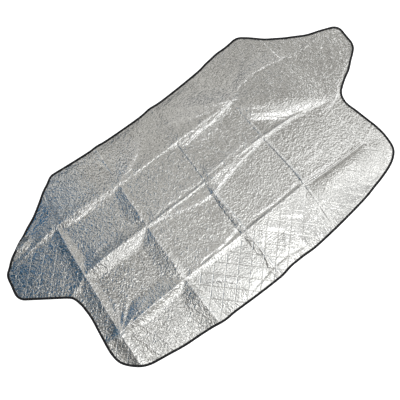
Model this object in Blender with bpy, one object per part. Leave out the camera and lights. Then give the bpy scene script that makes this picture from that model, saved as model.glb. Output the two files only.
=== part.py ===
"""Windshield frost cover: one padded foil sheet, bound all round with black tape.

It lies opened out on the ground, foil side up, and keeps the ridges of the folds
that it was stored in. X runs along its length, Y towards the edge that goes to the
car's roof, and Z up. The origin is on the ground under the middle of its box.
Sizes are in metres.
"""

import bpy
import numpy as np
from mathutils.geometry import delaunay_2d_cdt

# Cut of the sheet, measured from where the two middle creases cross.
# Each half is the mirror image of the other.
ROOF_CORNER_X = 0.535
ROOF_CORNER_Y = 0.475
ROOF_EDGE_DIP = 0.031
EAR_TOP_X = 0.938
EAR_TOP_Y = 0.226
EAR_EDGE_DIP = 0.012
EAR_LOW_X = 0.942
EAR_LOW_Y = 0.110
NOTCH_X = 0.741
NOTCH_Y = -0.034
WAIST_X = 0.735
WAIST_Y = -0.095
LOWER_CORNER_X = 0.776
LOWER_CORNER_Y = -0.424
SIDE_BOW = 0.004
BONNET_EDGE_BOW = 0.080

# How far from each corner its rounding starts.
ROOF_CORNER_RUN = 0.026
EAR_TOP_RUN = 0.034
EAR_LOW_RUN = 0.030
NOTCH_RUN = 0.022
WAIST_RUN = 0.030
LOWER_CORNER_RUN = 0.140

# Padded sheet, and what the tape presses its rim down to.
SHEET_THICKNESS = 0.0030
RIM_THICKNESS = 0.0016

# Binding tape, folded round the rim.
TAPE_THICKNESS = 0.0007
TAPE_WIDTH = 0.0105
TAPE_CLEARANCE = 0.0003
TAPE_FOLD_ROUND = 0.0010
RIM_PAST_TAPE = 0.0010

# Creases that folding left: cross creases along Y, long creases along X.
CROSS_CREASE_PITCH = 0.330
LONG_CREASE_PITCH = 0.250
CROSS_CREASES_EACH_SIDE = 2
LONG_CREASES_EACH_SIDE = 1
CREASE_HEIGHT = 0.010
CREASE_REACH = 0.100

# How strongly each stretch of a crease stands up, from one end to the other.
# Long creases run from the left ear to the right ear, cross creases from the bonnet edge
# to the roof edge, and the creases are listed in the order of growing X or Y.
LONG_CREASE_STRENGTHS = (
    (0.35, 0.95, 0.70, 0.60, 0.55, 0.50),
    (0.40, 0.90, 0.85, 0.95, 0.60, 0.55),
    (0.70, 1.00, 0.55, 0.85, 0.50, 0.30),
)
CROSS_CREASE_STRENGTHS = (
    (0.80, 0.75, 0.90, 0.60),
    (0.85, 0.80, 0.90, 0.45),
    (0.95, 0.85, 0.45, 0.35),
    (0.60, 0.55, 0.35, 0.40),
    (0.30, 0.30, 0.35, 0.25),
)

# Fineness of the faceted surface.
STATION_PITCH = 0.022
CREASE_STEPS = (0.012, 0.038)
LEAST_LINE_GAP = 0.009
WIDEST_LINE_GAP = 0.080
EDGE_POINTS = 64
ARC_POINTS = 12


def half_cut():
    """Corners of the right half, anticlockwise: X, Y, run of the rounding, bow of the edge after it."""
    return [
        (LOWER_CORNER_X, LOWER_CORNER_Y, LOWER_CORNER_RUN, SIDE_BOW),
        (WAIST_X, WAIST_Y, WAIST_RUN, 0.0),
        (NOTCH_X, NOTCH_Y, NOTCH_RUN, 0.0),
        (EAR_LOW_X, EAR_LOW_Y, EAR_LOW_RUN, 0.0),
        (EAR_TOP_X, EAR_TOP_Y, EAR_TOP_RUN, -EAR_EDGE_DIP),
        (ROOF_CORNER_X, ROOF_CORNER_Y, ROOF_CORNER_RUN, -ROOF_EDGE_DIP),
    ]


def whole_cut():
    """Corners all round: the right half, then its mirror image, whose bows belong to the edge before."""
    right = half_cut()
    left = []
    for index in range(len(right) - 1, -1, -1):
        x, y, run, _ = right[index]
        bow = right[index - 1][3] if index > 0 else BONNET_EDGE_BOW
        left.append((-x, y, run, bow))
    return right + left


def bowed_edge(start, end, bow):
    """Points from start to end on a parabola that stands out by bow at its middle."""
    along = np.linspace(0.0, 1.0, EDGE_POINTS)[:, None]
    chord = end - start
    outward = np.array([chord[1], -chord[0]]) / np.hypot(*chord)
    return start + along * chord + 4.0 * bow * along * (1.0 - along) * outward


def rounded_corner(before, corner, after):
    """Circular arc from before to after, whose tangents there meet at the corner."""
    towards = (corner - before) / np.hypot(*(corner - before))
    away = (after - corner) / np.hypot(*(after - corner))
    weight = np.sqrt((1.0 + towards @ away) / 2.0)
    along = np.linspace(0.0, 1.0, ARC_POINTS)[:, None]
    parts = (1.0 - along) ** 2, 2.0 * weight * along * (1.0 - along), along ** 2
    return (parts[0] * before + parts[1] * corner + parts[2] * after) / sum(parts)


def lengths_along(points):
    """Distance of each point from the first one, measured along the line."""
    steps = np.hypot(*np.diff(points, axis=0).T)
    return np.concatenate([[0.0], np.cumsum(steps)])


def point_at(points, lengths, distance):
    """Points of a line at the given distances along it."""
    return np.stack([np.interp(distance, lengths, points[:, axis]) for axis in (0, 1)], axis=-1)


def cut_line():
    """The whole cut as one closed line, with round corners, from the lower right corner on."""
    corners = whole_cut()
    count = len(corners)
    edges = []
    for index in range(count):
        start, end = corners[index], corners[(index + 1) % count]
        edge = bowed_edge(np.array(start[:2]), np.array(end[:2]), start[3])
        lengths = lengths_along(edge)
        kept = np.linspace(start[2], lengths[-1] - end[2], EDGE_POINTS)
        edges.append(point_at(edge, lengths, kept))
    line = []
    for index in range(count):
        after = edges[(index + 1) % count]
        corner = np.array(corners[(index + 1) % count][:2])
        line += [edges[index], rounded_corner(edges[index][-1], corner, after[0])[1:-1]]
    return np.concatenate(line)


def stations():
    """Even points along the cut, and the direction into the sheet at each of them."""
    line = cut_line()
    closed = np.concatenate([line, line[:1]])
    lengths = lengths_along(closed)
    count = 2 * int(round(lengths[-1] / STATION_PITCH / 2.0))
    points = point_at(closed, lengths, np.arange(count) * lengths[-1] / count)
    middle = (points.min(axis=0) + points.max(axis=0)) / 2.0
    along = np.roll(points, -1, axis=0) - np.roll(points, 1, axis=0)
    inward = np.stack([-along[:, 1], along[:, 0]], axis=-1) / np.hypot(*along.T)[:, None]
    return points, inward, middle


def crease_lines():
    """Places of the cross creases along X, and of the long creases along Y."""
    across = np.arange(-CROSS_CREASES_EACH_SIDE, CROSS_CREASES_EACH_SIDE + 1) * CROSS_CREASE_PITCH
    along = np.arange(-LONG_CREASES_EACH_SIDE, LONG_CREASES_EACH_SIDE + 1) * LONG_CREASE_PITCH
    return across, along


def ridge(distance, place, strengths, pitch):
    """Height of one crease's ridge: a parabola that meets the ground, as strong as each stretch says."""
    middles = (np.arange(len(strengths)) - (len(strengths) - 1) / 2.0) * pitch
    strength = np.interp(place, middles, strengths)
    ease = np.clip(1.0 - np.abs(distance) / CREASE_REACH, 0.0, 1.0)
    return CREASE_HEIGHT * strength * ease ** 2


def rise(x, y):
    """Height of the sheet's underside above the ground: the highest ridge that reaches the place."""
    cross, along = crease_lines()
    height = np.zeros_like(x)
    for place, strengths in zip(cross, CROSS_CREASE_STRENGTHS):
        height = np.maximum(height, ridge(x - place, y, strengths, LONG_CREASE_PITCH))
    for place, strengths in zip(along, LONG_CREASE_STRENGTHS):
        height = np.maximum(height, ridge(y - place, x, strengths, CROSS_CREASE_PITCH))
    return height


def ruled_lines(creases, low, high):
    """Lines that the inside of the sheet is divided at: close beside each crease, wide between."""
    wanted = [place for place in creases]
    for step in (*CREASE_STEPS, CREASE_REACH):
        wanted += [place + side * step for place in creases for side in (-1.0, 1.0)]
    lines = []
    for place in wanted:
        if low < place < high and all(abs(place - line) > LEAST_LINE_GAP for line in lines):
            lines.append(place)
    bounds = sorted([low, *lines, high])
    for start, end in zip(bounds[:-1], bounds[1:]):
        pieces = int(np.ceil((end - start) / WIDEST_LINE_GAP))
        lines += [start + (end - start) * part / pieces for part in range(1, pieces)]
    return np.array(sorted(lines))


def inside(points, ring):
    """Which points lie inside a closed ring, and farther from it than the least line gap."""
    start, end = ring, np.roll(ring, -1, axis=0)
    x, y = points[:, 0, None], points[:, 1, None]
    spans = (start[:, 1] > y) != (end[:, 1] > y)
    fall = np.where(end[:, 1] == start[:, 1], 1.0, end[:, 1] - start[:, 1])
    crossing = start[:, 0] + (y - start[:, 1]) / fall * (end[:, 0] - start[:, 0])
    within = (spans & (x < crossing)).sum(axis=1) % 2 == 1
    chord = end - start
    share = ((points[:, None] - start) * chord).sum(axis=2) / (chord ** 2).sum(axis=1)
    nearest = start + np.clip(share, 0.0, 1.0)[..., None] * chord
    gap = np.sqrt(((points[:, None] - nearest) ** 2).sum(axis=2)).min(axis=1)
    return within & (gap > LEAST_LINE_GAP)


def material(name, colour, roughness, metallic):
    """A plain finish with one colour."""
    finish = bpy.data.materials.new(name)
    finish.use_nodes = True
    shader = finish.node_tree.nodes["Principled BSDF"]
    shader.inputs["Base Color"].default_value = (*colour, 1.0)
    shader.inputs["Roughness"].default_value = roughness
    shader.inputs["Metallic"].default_value = metallic
    finish.diffuse_color = (*colour, 1.0)
    return finish


def add_object(name, points, faces, finish):
    """One closed body in the scene, with smooth surfaces and sharp edges past 40 degrees."""
    mesh = bpy.data.meshes.new(name)
    mesh.from_pydata([tuple(point) for point in points], [], faces)
    mesh.shade_smooth()
    mesh.set_sharp_from_angle(angle=np.radians(40.0))
    mesh.materials.append(finish)
    body = bpy.data.objects.new(name, mesh)
    bpy.context.scene.collection.objects.link(body)
    return body


def ring_quads(first, second, count):
    """Faces between two rings of points, given the index at which each ring starts."""
    return [(first + step, first + (step + 1) % count, second + (step + 1) % count, second + step)
            for step in range(count)]


def foil_panel(points, inward, middle):
    """The padded sheet: thin where the tape grips its rim, full and creased inside."""
    count = len(points)
    edge = points + inward * (TAPE_THICKNESS + TAPE_CLEARANCE)
    rim = points + inward * (TAPE_WIDTH + RIM_PAST_TAPE)
    cross, along = crease_lines()
    columns = ruled_lines(cross, points[:, 0].min(), points[:, 0].max())
    rows = ruled_lines(along, points[:, 1].min(), points[:, 1].max())
    grid = np.stack(np.meshgrid(columns, rows), axis=-1).reshape(-1, 2)
    grid = grid[inside(grid, rim)]

    flat = [tuple(point) for point in np.concatenate([rim, grid])]
    corners, _, triangles, origins, _, _ = delaunay_2d_cdt(flat, [], [list(range(count))], 1, 1e-7)
    place = {new: old[0] + count for new, old in enumerate(origins)}
    caps = [[place[corner] for corner in triangle] for triangle in triangles]
    caps += ring_quads(0, count, count)

    plan = np.concatenate([edge, rim, grid])
    edge_lift = rise(*points.T) + TAPE_THICKNESS + TAPE_CLEARANCE
    under = np.concatenate([edge_lift, edge_lift, rise(*grid.T)])
    thick = np.concatenate([np.full(2 * count, RIM_THICKNESS), np.full(len(grid), SHEET_THICKNESS)])
    low = np.column_stack([plan - middle, under])
    high = np.column_stack([plan - middle, under + thick])
    total = len(plan)
    faces = [[corner + total for corner in cap] for cap in caps]
    faces += [list(reversed(cap)) for cap in caps]
    faces += ring_quads(0, total, count)
    finish = material("embossed_foil", (0.56, 0.56, 0.54), 0.32, 0.9)
    return add_object("foil_panel", np.concatenate([low, high]), faces, finish)


def tape_section():
    """The folded tape cut across, as distance into the sheet and height, round its closed outline."""
    height = 2.0 * (TAPE_THICKNESS + TAPE_CLEARANCE) + RIM_THICKNESS
    return [
        (TAPE_WIDTH, 0.0),
        (TAPE_WIDTH, TAPE_THICKNESS),
        (TAPE_THICKNESS, TAPE_THICKNESS),
        (TAPE_THICKNESS, height - TAPE_THICKNESS),
        (TAPE_WIDTH, height - TAPE_THICKNESS),
        (TAPE_WIDTH, height),
        (TAPE_FOLD_ROUND, height),
        (0.0, height / 2.0),
        (TAPE_FOLD_ROUND, 0.0),
    ]


def edge_binding(points, inward, middle):
    """The tape: its folded section carried all round the cut, as high as the sheet is there."""
    lift = rise(*points.T)
    rings = [np.column_stack([points + inward * depth - middle, lift + height])
             for depth, height in tape_section()]
    count = len(points)
    faces = []
    for index in range(len(rings)):
        following = (index + 1) % len(rings)
        faces += ring_quads(following * count, index * count, count)
    finish = material("binding_tape", (0.012, 0.012, 0.013), 0.75, 0.0)
    return add_object("edge_binding", np.concatenate(rings), faces, finish)


def main():
    """Clears the scene and builds the two pieces of the cover."""
    for old in list(bpy.data.objects):
        bpy.data.objects.remove(old, do_unlink=True)
    points, inward, middle = stations()
    foil_panel(points, inward, middle)
    edge_binding(points, inward, middle)


main()
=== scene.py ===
"""Windshield frost cover, dressed: crinkled foil sheet, woven edge binding and its seam.

The cover lies opened out on a pale floor, foil side up. Its outline, ridges, wrinkles and
crinkles are surfaces worked out from formulas. All sizes are in metres, in the frame of the
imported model: X along the cover, Y towards the roof edge, Z up.
"""

import logging
import math
from dataclasses import dataclass, field
from enum import Enum

import bpy
import numpy as np
from mathutils import Matrix, Vector


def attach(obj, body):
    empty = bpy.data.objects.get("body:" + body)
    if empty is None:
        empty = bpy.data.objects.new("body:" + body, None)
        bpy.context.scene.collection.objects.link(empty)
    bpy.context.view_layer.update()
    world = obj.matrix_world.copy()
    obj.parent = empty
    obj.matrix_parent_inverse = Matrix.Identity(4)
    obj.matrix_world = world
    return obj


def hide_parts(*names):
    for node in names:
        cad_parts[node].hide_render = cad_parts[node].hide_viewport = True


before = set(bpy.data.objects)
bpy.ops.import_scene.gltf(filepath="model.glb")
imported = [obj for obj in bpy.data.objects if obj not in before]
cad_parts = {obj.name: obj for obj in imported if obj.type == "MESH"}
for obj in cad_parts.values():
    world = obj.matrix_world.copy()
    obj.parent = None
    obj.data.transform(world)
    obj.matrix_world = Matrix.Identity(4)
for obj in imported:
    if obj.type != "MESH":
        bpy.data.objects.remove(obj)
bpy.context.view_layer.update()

LOG = logging.getLogger("frost_cover")

# Points along each side of the tables of random numbers.
LATTICE = 512


class Colour(Enum):
    """The colours of the cover and of the room, as sRGB hex values."""

    FOIL = "e6e6e3"
    FOIL_SCUFF_AND_HIGHLIGHT = "f4f4f2"
    # Foil lighter along sharp crests and fold lines: a painted highlight, partly standing for the scuffing of
    # creased film.
    TAPE = "141416"
    TAPE_WORN = "232326"
    THREAD = "0c0c0d"
    FLOOR = "f2f2f0"
    ROOM = "a9aeb2"
    CEILING = "fffdf9"
    GREY_SHADE = "e4eaf2"
    SHADE = "90ceff"
    DEEP_SHADE = "2cb0ff"
    WINDOW = "ffffff"


def linear(colour: Colour) -> tuple[float, float, float, float]:
    """Turns an sRGB hex value to linear light.

    Args:
        colour: One of the named colours.

    Returns:
        Red, green, blue and an alpha of 1, each from 0 to 1.
    """
    parts = [int(colour.value[index:index + 2], 16) / 255.0 for index in (0, 2, 4)]
    light = [part / 12.92 if part <= 0.04045 else ((part + 0.055) / 1.055) ** 2.4 for part in parts]
    return light[0], light[1], light[2], 1.0


def smoothstep(value: np.ndarray, start: float, end: float) -> np.ndarray:
    """Goes from 0 at start to 1 at end along a smooth cubic.

    Args:
        value: Any numbers.
        start: Where it is 0.
        end: Where it is 1, which may lie below the start.

    Returns:
        Numbers from 0 to 1.
    """
    share = np.clip((value - start) / (end - start), 0.0, 1.0)
    return share * share * (3.0 - 2.0 * share)


def lengths_along(points: np.ndarray) -> np.ndarray:
    """Distance of each point from the first one, measured along the line they make."""
    return np.concatenate([[0.0], np.cumsum(np.hypot(*np.diff(points[:, :2], axis=0).T))])


def points_at(points: np.ndarray, distance: np.ndarray) -> np.ndarray:
    """Points of a line at given distances along it, every column interpolated."""
    lengths = lengths_along(points)
    return np.stack([np.interp(distance, lengths, column) for column in points.T], axis=-1)


def inward_normals(ring: np.ndarray) -> np.ndarray:
    """Unit directions into a closed anticlockwise ring, square to its neighbours' chord."""
    along = np.roll(ring, -1, axis=0) - np.roll(ring, 1, axis=0)
    return np.stack([-along[:, 1], along[:, 0]], axis=-1) / np.hypot(*along.T)[:, None]


def noise(x: np.ndarray, y: np.ndarray, pitch: float, seed: int) -> np.ndarray:
    """Smooth random heights: a square lattice of random numbers, turned, blended by a cubic.

    Args:
        x: Places along X, in metres.
        y: Places along Y, in metres.
        pitch: Distance between the lattice's points, in metres.
        seed: Chooses the numbers and the lattice's turn.

    Returns:
        Heights from -1 to 1.
    """
    random = np.random.default_rng(seed)
    table = random.uniform(-1.0, 1.0, (LATTICE, LATTICE))
    turn = random.uniform(0.3, 1.2)
    across = (x * math.cos(turn) + y * math.sin(turn)) / pitch
    along = (y * math.cos(turn) - x * math.sin(turn)) / pitch
    column, row = np.floor(across).astype(int), np.floor(along).astype(int)
    right = smoothstep(across - column, 0.0, 1.0)
    above = smoothstep(along - row, 0.0, 1.0)
    corner = [[table[(column + i) % LATTICE, (row + j) % LATTICE] for j in (0, 1)] for i in (0, 1)]
    low = corner[0][0] * (1.0 - right) + corner[1][0] * right
    high = corner[0][1] * (1.0 - right) + corner[1][1] * right
    return low * (1.0 - above) + high * above


def facets(x: np.ndarray, y: np.ndarray, pitch: float, seed: int) -> np.ndarray:
    """Crumpled facets: the distance to the nearest of many points, one in each cell of a lattice.

    Args:
        x: Places along X, in metres.
        y: Places along Y, in metres.
        pitch: Size of the lattice's cells, in metres.
        seed: Chooses where in its cell each point lies.

    Returns:
        Heights from 0 at a point to about 1 at the ridges between points.
    """
    scatter = np.random.default_rng(seed).uniform(0.0, 1.0, (LATTICE, LATTICE, 2))
    across, along = x / pitch, y / pitch
    column, row = np.floor(across).astype(int), np.floor(along).astype(int)
    nearest = np.full(x.shape, np.inf)
    for i in (-1, 0, 1):
        for j in (-1, 0, 1):
            spot = scatter[(column + i) % LATTICE, (row + j) % LATTICE]
            gap = np.hypot(column + i + spot[..., 0] - across, row + j + spot[..., 1] - along)
            nearest = np.minimum(nearest, gap)
    return nearest


@dataclass(frozen=True)
class Drift:
    """A number that changes slowly and at random over the sheet.

    Attributes:
        middle: Its middle value.
        change: How far it goes above and below.
        pitch: Size of its changes, in metres.
        seed: Chooses the random numbers.
    """

    middle: float
    change: float
    pitch: float
    seed: int

    def at(self, x: np.ndarray, y: np.ndarray) -> np.ndarray:
        """Middle value plus the change times smooth noise."""
        return self.middle + self.change * noise(x, y, self.pitch, self.seed)


@dataclass(frozen=True)
class Corner:
    """A corner of the cut.

    Attributes:
        x: Place along the cover, from the crossing of the middle creases.
        y: Place towards the roof edge, from the same crossing.
        run: How far from the corner its rounding starts.
        bow: How far the edge that follows stands out at its middle.
    """

    x: float
    y: float
    run: float
    bow: float = 0.0

    def mirrored(self, bow: float) -> "Corner":
        """The same corner on the other half of the cover."""
        return Corner(-self.x, self.y, self.run, bow)


@dataclass(frozen=True)
class Pull:
    """A place where the sheet has crept a little as it lies, fading out round it like a bell curve.

    Attributes:
        x: Place along the cover.
        y: Place towards the roof edge.
        move_x: How far the sheet has crept there along X.
        move_y: The same along Y.
        reach: Distance at which the creep has faded to about a third.
    """

    x: float
    y: float
    move_x: float
    move_y: float
    reach: float


@dataclass(frozen=True)
class Cut:
    """The cover's cut, the same on both sides of its middle crease, and how it lies.

    Attributes:
        half: Corners of the right half, from the bonnet edge to the roof edge.
        bonnet_edge_bow: How far the bonnet edge stands out at its middle.
        edge_points: How many points an edge between two corners has.
        arc_points: How many points a corner's rounding has.
        outline_points: How many points the cut has where distances and areas are measured.
        border_points: How many it has where the grid's borders are taken from it.
        roof_corner_tilt: How much a border point's X counts beside its Y in finding the roof corner.
        pulls: Where the sheet has crept.
    """

    half: tuple[Corner, ...] = (
        Corner(0.776, -0.424, 0.140, 0.004),
        Corner(0.735, -0.095, 0.030),
        Corner(0.741, -0.034, 0.022),
        Corner(0.942, 0.110, 0.030),
        Corner(0.938, 0.226, 0.034, -0.012),
        Corner(0.535, 0.475, 0.026, -0.031),
    )
    bonnet_edge_bow: float = 0.080
    edge_points: int = 96
    arc_points: int = 16
    outline_points: int = 1400
    border_points: int = 4096
    roof_corner_tilt: float = 0.02
    pulls: tuple[Pull, ...] = (
        Pull(0.800, 0.315, -0.005, -0.011, 0.060),
        Pull(0.720, 0.362, -0.007, -0.010, 0.060),
        Pull(0.645, 0.410, -0.007, -0.009, 0.060),
        Pull(0.840, 0.053, 0.005, -0.007, 0.045),
        Pull(0.905, 0.100, 0.004, -0.006, 0.050),
        Pull(0.935, 0.225, 0.006, 0.003, 0.050),
        Pull(0.738, -0.062, -0.007, 0.000, 0.040),
        Pull(0.759, -0.240, 0.005, 0.000, 0.060),
        Pull(0.742, -0.360, 0.010, -0.003, 0.050),
        Pull(0.656, -0.430, -0.001, 0.008, 0.050),
        Pull(0.580, -0.443, 0.000, 0.004, 0.045),
        Pull(0.065, -0.487, 0.000, 0.007, 0.040),
        Pull(0.125, -0.486, 0.000, 0.006, 0.045),
        Pull(-0.300, -0.475, 0.000, -0.005, 0.040),
        Pull(-0.500, -0.455, 0.000, -0.003, 0.060),
        Pull(-0.742, -0.030, -0.008, -0.001, 0.030),
        Pull(-0.739, -0.080, -0.006, 0.000, 0.035),
        Pull(-0.752, -0.340, -0.004, -0.002, 0.040),
        Pull(-0.740, 0.350, -0.002, 0.007, 0.045),
        Pull(-0.800, 0.315, -0.005, 0.010, 0.045),
        Pull(-0.860, 0.282, -0.005, 0.008, 0.040),
        Pull(-0.938, 0.215, 0.009, 0.000, 0.040),
        Pull(0.405, 0.477, 0.000, 0.007, 0.045),
        Pull(0.345, 0.473, 0.000, 0.004, 0.030),
        Pull(0.010, 0.460, 0.000, 0.005, 0.035),
        Pull(-0.280, 0.468, 0.000, 0.003, 0.025),
        Pull(-0.552, 0.478, 0.003, -0.006, 0.030),
    )

    def corners(self) -> list[Corner]:
        """Corners all round, anticlockwise, from the lower right one."""
        left = []
        for index in range(len(self.half) - 1, -1, -1):
            bow = self.half[index - 1].bow if index > 0 else self.bonnet_edge_bow
            left.append(self.half[index].mirrored(bow))
        return [*self.half, *left]

    def edge(self, start: Corner, end: Corner) -> np.ndarray:
        """Points of the edge between two corners: a chord plus a parabola of the edge's bow."""
        along = np.linspace(0.0, 1.0, self.edge_points)[:, None]
        first, last = np.array([start.x, start.y]), np.array([end.x, end.y])
        chord = last - first
        outward = np.array([chord[1], -chord[0]]) / np.hypot(*chord)
        bowed = first + along * chord + 4.0 * start.bow * along * (1.0 - along) * outward
        kept = np.linspace(start.run, lengths_along(bowed)[-1] - end.run, self.edge_points)
        return points_at(bowed, kept)

    def rounding(self, before: np.ndarray, corner: np.ndarray, after: np.ndarray) -> np.ndarray:
        """Circular arc whose end tangents meet at the corner, as a weighted quadratic curve."""
        towards = (corner - before) / np.hypot(*(corner - before))
        away = (after - corner) / np.hypot(*(after - corner))
        weight = math.sqrt((1.0 + float(towards @ away)) / 2.0)
        along = np.linspace(0.0, 1.0, self.arc_points)[:, None]
        parts = (1.0 - along) ** 2, 2.0 * weight * along * (1.0 - along), along ** 2
        return (parts[0] * before + parts[1] * corner + parts[2] * after) / sum(parts)

    def ring(self, count: int) -> np.ndarray:
        """The whole cut as evenly spaced points, moved so that its box is centred on the origin.

        Args:
            count: How many points to give.

        Returns:
            An array of places, anticlockwise, from the side above the lower right corner.
        """
        corners = self.corners()
        following = corners[1:] + corners[:1]
        edges = [self.edge(start, end) for start, end in zip(corners, following)]
        line = []
        for index, corner in enumerate(following):
            after = edges[(index + 1) % len(edges)]
            arc = self.rounding(edges[index][-1], np.array([corner.x, corner.y]), after[0])
            line += [edges[index], arc[1:-1]]
        whole = np.concatenate(line)
        closed = np.concatenate([whole, whole[:1]])
        ring = points_at(closed, np.arange(count) / count * lengths_along(closed)[-1])
        return ring - (ring.min(axis=0) + ring.max(axis=0)) / 2.0

    def outline(self) -> np.ndarray:
        """The whole cut, fine enough for distances and areas."""
        return self.ring(self.outline_points)

    def laid(self, places: np.ndarray) -> np.ndarray:
        """Moves flat places to where they lie: a pull adds its move times exp(-(distance / reach)^2)."""
        moved = places.copy()
        for pull in self.pulls:
            gap = np.hypot(places[..., 0] - pull.x, places[..., 1] - pull.y) / pull.reach
            fade = np.exp(-gap ** 2)
            moved[..., 0] += pull.move_x * fade
            moved[..., 1] += pull.move_y * fade
        return moved

    def borders(self, inset: float) -> tuple[np.ndarray, np.ndarray, np.ndarray]:
        """Right halves of bonnet edge and roof edge, with the right side between, set in by an inset."""
        ring = self.ring(self.border_points)
        ring = ring + inward_normals(ring) * inset
        right = ring[ring[:, 0] >= 0.0]
        right = right[np.argsort(np.arctan2(right[:, 1], right[:, 0]))]
        lower = int(np.argmax(right[:, 0] - right[:, 1]))
        upper = int(np.argmax(right[:, 1] + self.roof_corner_tilt * right[:, 0]))
        return right[:lower + 1], right[lower:upper + 1], right[upper:][::-1]

    def spread(self, inset: float, out: np.ndarray, up: np.ndarray) -> np.ndarray:
        """Spreads shares over the cut.

        A row is as wide as the cut at its level, and its height is that level plus the bonnet edge's
        curve, fading out upwards, plus the roof edge's, fading in.

        Args:
            inset: How far inside the cut the spread's border runs.
            out: Shares of the half width, from -1 to 1.
            up: Shares of the height, from 0 to 1.

        Returns:
            Places, one for each pair of shares.
        """
        bonnet, side, roof = self.borders(inset)
        level = side[0, 1] + up * (side[-1, 1] - side[0, 1])
        x = out * np.interp(level, side[:, 1], side[:, 0])
        dip = np.interp(np.abs(out) * bonnet[-1, 0], bonnet[:, 0], bonnet[:, 1]) - bonnet[-1, 1]
        lift = np.interp(np.abs(out) * roof[-1, 0], roof[:, 0], roof[:, 1]) - roof[-1, 1]
        return np.stack([x, level + (1.0 - up) * dip + up * lift], axis=-1)


def between(share: np.ndarray, marks: np.ndarray, lines: list[np.ndarray]) -> np.ndarray:
    """Blends linearly between lines that lie at given marks of a share."""
    place = np.zeros(share.shape)
    for index in range(len(marks) - 1):
        inside = (share >= marks[index]) & (share <= marks[index + 1])
        part = (share - marks[index]) / (marks[index + 1] - marks[index])
        blended = lines[index] + part * (lines[index + 1] - lines[index])
        place = np.where(inside, blended, place)
    return place


@dataclass(frozen=True)
class CreasedGrid:
    """A grid over the cut whose rows and columns run along the creases and crowd there.

    Attributes:
        cut: The cover's cut.
        inset: How far inside the cut its border runs.
        columns: Number of cells along the cover.
        rows: Number of cells across it.
        crowding: How much closer the lines are at a crease, from 0 for even to 1.
        search_columns: How many places along the cover a crease is looked for among.
        search_rows: How many across it.
        crease_steps: How many points of a crease are looked for.
        rounds: How often rows and columns are worked out from each other.
    """

    cut: Cut
    inset: float
    columns: int
    rows: int
    crowding: float = 0.35
    search_columns: int = 801
    search_rows: int = 401
    crease_steps: int = 24
    rounds: int = 6

    def shares(self, lines: list[np.ndarray]) -> list[np.ndarray]:
        """Finds creases in the cut's shares, by the nearest of many places spread over it."""
        out, up = np.meshgrid(np.linspace(-1.0, 1.0, self.search_columns),
                              np.linspace(0.0, 1.0, self.search_rows))
        places = self.cut.spread(self.inset, out, up).reshape(-1, 2)
        found = []
        for line in lines:
            steps = points_at(line[:, :2], np.linspace(0.0, lengths_along(line)[-1], self.crease_steps))
            nearest = [int(np.argmin(((places - step) ** 2).sum(axis=-1))) for step in steps]
            found.append(np.column_stack([out.ravel()[nearest], up.ravel()[nearest]]))
        return found

    def even(self, count: int, marks: np.ndarray) -> np.ndarray:
        """Shares from 0 to 1 that crowd at the marks: each stretch minus a sine of itself."""
        share = np.linspace(0.0, 1.0, count + 1)
        index = np.clip(np.searchsorted(marks, share, side="right") - 1, 0, len(marks) - 2)
        part = (share - marks[index]) / (marks[index + 1] - marks[index])
        part = part - self.crowding * np.sin(2.0 * math.pi * part) / (2.0 * math.pi)
        return marks[index] + part * (marks[index + 1] - marks[index])

    def places(self, cross: list[np.ndarray], along: list[np.ndarray]) -> np.ndarray:
        """Places of the grid's points, in an array of rows + 1 by columns + 1.

        Args:
            cross: Creases across the cover, from left to right, each from bonnet to roof edge.
            along: Creases along it, from bonnet to roof edge, each from left to right.

        Returns:
            The places, flat. Rows and columns are blended between the creases, and each depends on
            the other, so they are worked out in turn until they agree.
        """
        cross, along = self.shares(cross), self.shares(along)
        middle = [float(np.interp(0.5, line[:, 1], line[:, 0])) for line in cross]
        level = [float(np.interp(0.0, line[:, 0], line[:, 1])) for line in along]
        column_marks = np.round(self.columns * (np.array([-1.0, *middle, 1.0]) + 1.0) / 2.0) / self.columns
        row_marks = np.round(self.rows * np.array([0.0, *level, 1.0])) / self.rows
        wide, high = np.meshgrid(self.even(self.columns, column_marks), self.even(self.rows, row_marks))
        out, up = 2.0 * wide - 1.0, high.copy()
        for _ in range(self.rounds):
            lines = [np.interp(up, line[:, 1], line[:, 0]) for line in cross]
            out = between(wide, column_marks, [np.full(up.shape, -1.0), *lines, np.full(up.shape, 1.0)])
            lines = [np.interp(out, line[:, 0], line[:, 1]) for line in along]
            up = between(high, row_marks, [np.zeros(up.shape), *lines, np.full(up.shape, 1.0)])
        return self.cut.spread(self.inset, out, up)


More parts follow.
